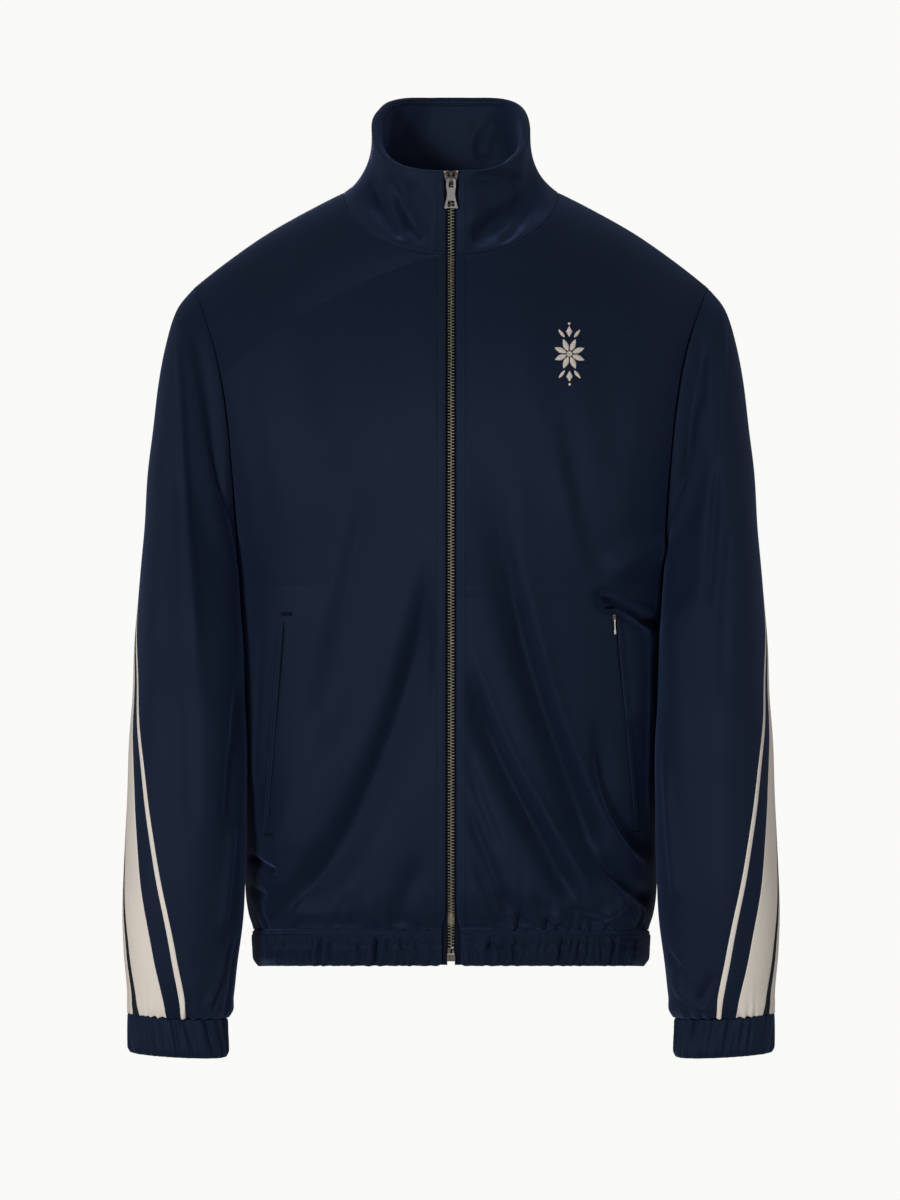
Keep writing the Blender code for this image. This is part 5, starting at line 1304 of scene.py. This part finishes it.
main_cuts = ((hole, -3.0, 3.0), (groove, 0.3, 3.0))
build_pull("main_pull", "zip_pull", "zip_tab", MAIN_PULL, MAIN_SLOT, main_cuts, 0.62, 0.2, pull_metal)
build_pull("small_pull", "pocket_pull", "pocket_tab", SMALL_PULL, SMALL_SLOT, (), 0.3, 0.12, teeth_metal)
node = frame["nodes"]["pocket_slider"]
node.data.materials.clear()
node.data.materials.append(dark_metal)


# ---------------------------------------------------------------- pockets

# Slit of each pocket: (top x, top z, bottom x, bottom z), and its sewn bars: (x from, x to, z from, z to)
POCKET_SLITS = {"right": (-143.7, -376.5, -158.2, -557.0), "left": (141.2, -366.5, 158.6, -554.5)}
SEWN_BARS = {"right": ((-145.8, -136.0, -371.4, -368.0), (-161.0, -153.0, -560.8, -558.6)),
             "left": ((132.0, 141.0, -365.6, -363.2), (155.0, 163.0, -558.2, -556.0))}
# Section of a pocket's lip: (distance towards the side, height off the cloth)
LIP_SECTION = (
    (-1.0, 0.0), (-0.85, 0.12), (-0.12, 0.12), (-0.08, 0.5), (0.1, 0.95), (0.7, 1.15), (1.7, 1.15),
    (2.7, 0.95), (3.4, 0.6), (3.75, 0.2), (3.9, -0.3),
)
# The first places of the section make the flat strip by the slit, which is painted as the slit's shadow
SLIT_COLUMNS = 3

readers = {side: Reader(fronts[side]) for side, _ in SIDES}
collar_reader = Reader(collar)


def build_lip(side, sign):
    """The lip along a pocket's slit, with a near-black strip beside it that is painted shadow of the slit's
    opening.
    """
    top_x, top_z, bottom_x, bottom_z = POCKET_SLITS[side]
    rows = []
    for t in np.linspace(0.0, 1.0, 76):
        x, z = top_x + (bottom_x - top_x) * t, top_z + (bottom_z - top_z) * t
        ends = float(smooth(t / 0.02) * smooth((1.0 - t) / 0.02))
        gap = 0.45 + 0.75 * float(smooth(t / 0.05) * smooth((0.62 - t) / 0.4))
        row = []
        for number, (reach, height) in enumerate(LIP_SECTION):
            reach = reach * gap if number < SLIT_COLUMNS else reach
            place, normal = readers[side](x + sign * reach, z)
            row.append(place + normal * (height * ends if height > 0.2 else height))
        rows.append(row)
    grid = np.array([[tuple(p) for p in row] for row in rows])
    grid = grid[::-1] if sign > 0 else grid[::-1, ::-1]
    lip = skin(f"pocket_lip_{side}", grid, navy)
    # The faces by the slit get the near-black material: painted shadow of the slit's opening
    lip.data.materials.append(slit_painted_shadow)
    columns = len(LIP_SECTION) - 1
    for number, polygon in enumerate(lip.data.polygons):
        column = number % columns if sign > 0 else columns - 1 - number % columns
        polygon.material_index = 1 if column < SLIT_COLUMNS - 1 else 0
    declare(lip, [f"pocket_welt_{side}"])


for side, sign in SIDES:
    build_lip(side, sign)


# ---------------------------------------------------------------- threads

STITCH_PITCH = 2.7
STITCH_LENGTH = 2.0
STITCH_RADIUS = 0.2
STITCH_LIFT = 0.12
SATIN_SPACING = 0.5
SATIN_RADIUS = 0.3
SATIN_LIFT = 0.5
THREAD_SINK = 0.1


def thread_part(start, end, normal, radius, lift):
    """A sewn thread that rises from the cloth, lies on it and goes back in."""
    along = (end - start).normalized()
    beside = along.cross(normal).normalized()
    over = beside.cross(along).normalized()
    places = ((0.0, -THREAD_SINK, 0.7), (0.16, lift, 1.0), (0.84, lift, 1.0), (1.0, -THREAD_SINK, 0.7))
    points = []
    for share, height, size in places:
        centre = start.lerp(end, share) + normal * height
        for turn in range(6):
            angle = math.radians(60 * turn)
            points.append(centre + (beside * math.cos(angle) + over * math.sin(angle)) * radius * size)
    faces = [tuple(range(6)), tuple(range(23, 17, -1))]
    for ring_number in range(3):
        low, high = 6 * ring_number, 6 * ring_number + 6
        faces += [(low + i, high + i, high + (i + 1) % 6, low + (i + 1) % 6) for i in range(6)]
    return points, faces


def finish_threads(name, parts, material):
    threads = mesh_object(name, *gather_parts(parts), material)
    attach(threads, "jacket")


def stitch_line(reader, knots):
    """Stitches along a line of (x, z) knots."""
    knots = np.array(knots, float)
    run = np.concatenate([[0.0], np.cumsum(np.linalg.norm(np.diff(knots, axis=0), axis=1))])
    parts = []
    for at in np.arange(0.4, run[-1] - STITCH_LENGTH, STITCH_PITCH):
        ends = [reader(float(np.interp(place, run, knots[:, 0])), float(np.interp(place, run, knots[:, 1])))
                for place in (at, at + STITCH_LENGTH)]
        (start, first_normal), (end, last_normal) = ends
        normal = (first_normal + last_normal).normalized()
        parts.append(thread_part(start, end, normal, STITCH_RADIUS, STITCH_LIFT))
    return parts


def satin(reader, spine, widths, spacing, origin):
    """Threads side by side across a spine, as long as the widths say."""
    spine, widths = np.array(spine, float), np.array(widths, float)
    run = np.concatenate([[0.0], np.cumsum(np.linalg.norm(np.diff(spine, axis=0), axis=1))])
    parts = []
    for at in np.arange(spacing / 2, run[-1], spacing):
        x, z = np.interp(at, run, spine[:, 0]), np.interp(at, run, spine[:, 1])
        ahead = [np.interp(at + 0.2, run, line) - np.interp(at - 0.2, run, line) for line in spine.T]
        ahead = np.array(ahead)
        ahead = ahead / np.linalg.norm(ahead)
        half = float(np.interp(at, run, widths)) * rng.uniform(0.94, 1.05)
        slant = rng.normal(0.0, 0.05)
        across = np.array([-ahead[1], ahead[0]]) + ahead * slant
        first, last = (reader(origin[0] + x + k * half * across[0], origin[1] + z + k * half * across[1])
                       for k in (-1.0, 1.0))
        lift = SATIN_LIFT * (0.6 + 0.4 * min(1.0, half / 2.0))
        parts.append(thread_part(first[0], last[0], (first[1] + last[1]).normalized(), SATIN_RADIUS, lift))
    return parts


PLACKET_X = 12.3
seams = []
for side, sign in SIDES:
    seams += stitch_line(readers[side], [(sign * PLACKET_X, -638.0), (sign * PLACKET_X, -64.5)])
    seams += stitch_line(collar_reader, [(sign * PLACKET_X, -59.0), (sign * PLACKET_X, 7.0)])
    top_x, top_z, bottom_x, bottom_z = POCKET_SLITS[side]
    seams += stitch_line(readers[side], [(top_x - sign * 2.2, top_z), (bottom_x - sign * 2.2, bottom_z)])
    seams += stitch_line(readers[side], [(top_x + sign * 5.2, top_z), (bottom_x + sign * 5.2, bottom_z)])
    for x_from, x_to, z_from, z_to in SEWN_BARS[side]:
        middle = (z_from + z_to) / 2
        spine, widths = [(x_from, middle), (x_to, middle)], [(z_to - z_from) / 2] * 2
        seams += satin(readers[side], spine, widths, 0.55, (0.0, 0.0))
finish_threads("seam_threads", seams, navy_thread)

# Embroidered motif on the wearer's left chest: a rosette of eight petals between lozenges, leaves and dots
MOTIF_PLACE = (101.3, -147.2)
PETAL = ((3.0, 0.5), (5.0, 1.7), (7.5, 2.45), (10.0, 2.1), (12.0, 1.2), (13.4, 0.3))
LEAF = ((0.0, 0.3), (1.5, 1.1), (3.6, 1.5), (6.0, 1.1), (8.2, 0.3))
LOZENGE = ((-4.4, 0.2), (0.0, 2.9), (4.4, 0.2))
DOT = ((-1.1, 0.4), (-0.5, 1.1), (0.5, 1.1), (1.1, 0.4))


def ray(distances, angle, origin=(0.0, 0.0)):
    turn = math.radians(angle)
    return [(origin[0] + d * math.cos(turn), origin[1] + d * math.sin(turn)) for d in distances]


def embroider():
    parts = []

    def fill(shape, angle, centre=(0.0, 0.0)):
        spine = ray([d for d, _ in shape], angle, centre)
        return satin(readers["left"], spine, [w for _, w in shape], SATIN_SPACING, MOTIF_PLACE)

    for petal in range(8):
        parts += fill(PETAL, 45.0 * petal + 22.5)
    for spoke in range(16):
        turn = math.radians(22.5 * spoke)
        ends = [readers["left"](MOTIF_PLACE[0] + r * math.cos(turn), MOTIF_PLACE[1] + r * math.sin(turn))
                for r in (0.5, 2.5)]
        parts.append(thread_part(ends[0][0], ends[1][0], ends[0][1], 0.32, 0.45))
    for up in (1.0, -1.0):
        parts += fill(LOZENGE, 90.0, (0.0, 19.4 * up))
        parts += fill(DOT, 90.0, (0.0, 26.4 * up))
        for across in (1.0, -1.0):
            angle = 90.0 - across * up * 38.0 + (180.0 if up < 0 else 0.0)
            parts += fill(LEAF, angle, (4.2 * across, 14.6 * up))
    finish_threads("chest_embroidery", parts, beige_thread)


embroider()


# ---------------------------------------------------------------- camera, lights and stage

# Lamps: name, place, aim, size and power
LAMPS = (
    ("key", (-2.0, -3.6, -0.1), (0, 0, -0.4), (0.7, 0.7), 80),
    ("front", (1.8, -4.2, -0.4), (0, 0, -0.5), (1.2, 1.2), 21),
    ("fill", (2.8, -2.0, -0.3), (0, 0, -0.5), (1.2, 2.0), 10),
    ("top", (0, -0.4, 2.4), (0, 0, -0.2), (2.4, 1.6), 2),
    ("side_left", (-2.8, -0.9, -0.3), (0, 0, -0.4), (1.2, 2.6), 5),
    ("side_right", (2.6, 0.2, -0.3), (0, 0, -0.4), (1.2, 2.6), 2.4),
    ("back", (-0.3, 4.6, 0.6), (0, 0, -0.4), (1.6, 1.6), 34),
)
FLOOR_RADIUS = 1700
FLOOR_Z = -1.22


def add_to_scene(name, data):
    thing = bpy.data.objects.new(name, data)
    bpy.context.scene.collection.objects.link(thing)
    return thing


def build_camera():
    data = bpy.data.cameras.new("camera")
    data.lens, data.sensor_width = CAMERA_LENS, 36.0
    camera = add_to_scene("camera", data)
    camera.location = CAMERA_PLACE
    camera.rotation_euler = (math.radians(90), 0, 0)
    bpy.context.scene.camera = camera


def build_lamp(name, place, aim, size, energy):
    data = bpy.data.lights.new(name, "AREA")
    data.shape, data.size, data.size_y, data.energy = "RECTANGLE", size[0], size[1], energy
    lamp = add_to_scene(name, data)
    lamp.location = place
    lamp.rotation_euler = (Vector(aim) - Vector(place)).to_track_quat("-Z", "Y").to_euler()


def build_world():
    """A pale background to look at, and a dimmer one to light by, which is brighter in front."""
    world = bpy.data.worlds.new("studio")
    world.use_nodes = True
    bpy.context.scene.world = world
    nodes, links = world.node_tree.nodes, world.node_tree.links
    shown = nodes["Background"]
    set_inputs(shown, Color=(0.955, 0.95, 0.93, 1.0))
    lighting = add_node(nodes, "ShaderNodeBackground", in_Color=(0.95, 0.97, 1.0, 1.0))
    place = add_node(nodes, "ShaderNodeTexCoord")
    parts = add_node(nodes, "ShaderNodeSeparateXYZ")
    ahead = add_node(nodes, "ShaderNodeMapRange", in_From_Min=-1.0, in_To_Min=WORLD_FRONT,
                     in_To_Max=WORLD_BACK)
    rays = add_node(nodes, "ShaderNodeLightPath")
    both = add_node(nodes, "ShaderNodeMixShader")
    wire(links, (place, "Generated", parts, 0), (parts, "Y", ahead, "Value"),
         (ahead, "Result", lighting, "Strength"), (rays, "Is Camera Ray", both, "Fac"),
         (lighting, "Background", both, 1), (shown, "Background", both, 2),
         (both, "Shader", nodes["World Output"], "Surface"))


def build_floor():
    """A pale floor that fades out away from the jacket."""
    material, nodes, links, shader = new_material("floor_pale")
    place = add_node(nodes, "ShaderNodeTexCoord")
    away = add_node(nodes, "ShaderNodeVectorMath", operation="LENGTH")
    fade = add_node(nodes, "ShaderNodeMapRange", interpolation_type="SMOOTHSTEP", in_From_Min=0.5,
                    in_From_Max=1.6, in_To_Min=0.55, in_To_Max=0.0)
    wire(links, (place, "Object", away, 0), (away, "Value", fade, "Value"), (fade, "Result", shader, "Alpha"))
    set_inputs(shader, Base_Color=(0.86, 0.855, 0.84, 1.0), Roughness=0.9)
    turns = np.linspace(0, 2 * np.pi, 65)[:-1]
    rim = [(FLOOR_RADIUS * math.cos(t), FLOOR_RADIUS * math.sin(t), 0.0) for t in turns]
    floor = mesh_object("floor", rim, [tuple(range(64))], material)
    floor.location = (0.0, 0.0, FLOOR_Z)


build_camera()
for lamp_row in LAMPS:
    build_lamp(*lamp_row)
build_world()
bpy.context.scene.view_settings.view_transform = "Standard"
bpy.context.scene.view_settings.look = "None"
build_floor()
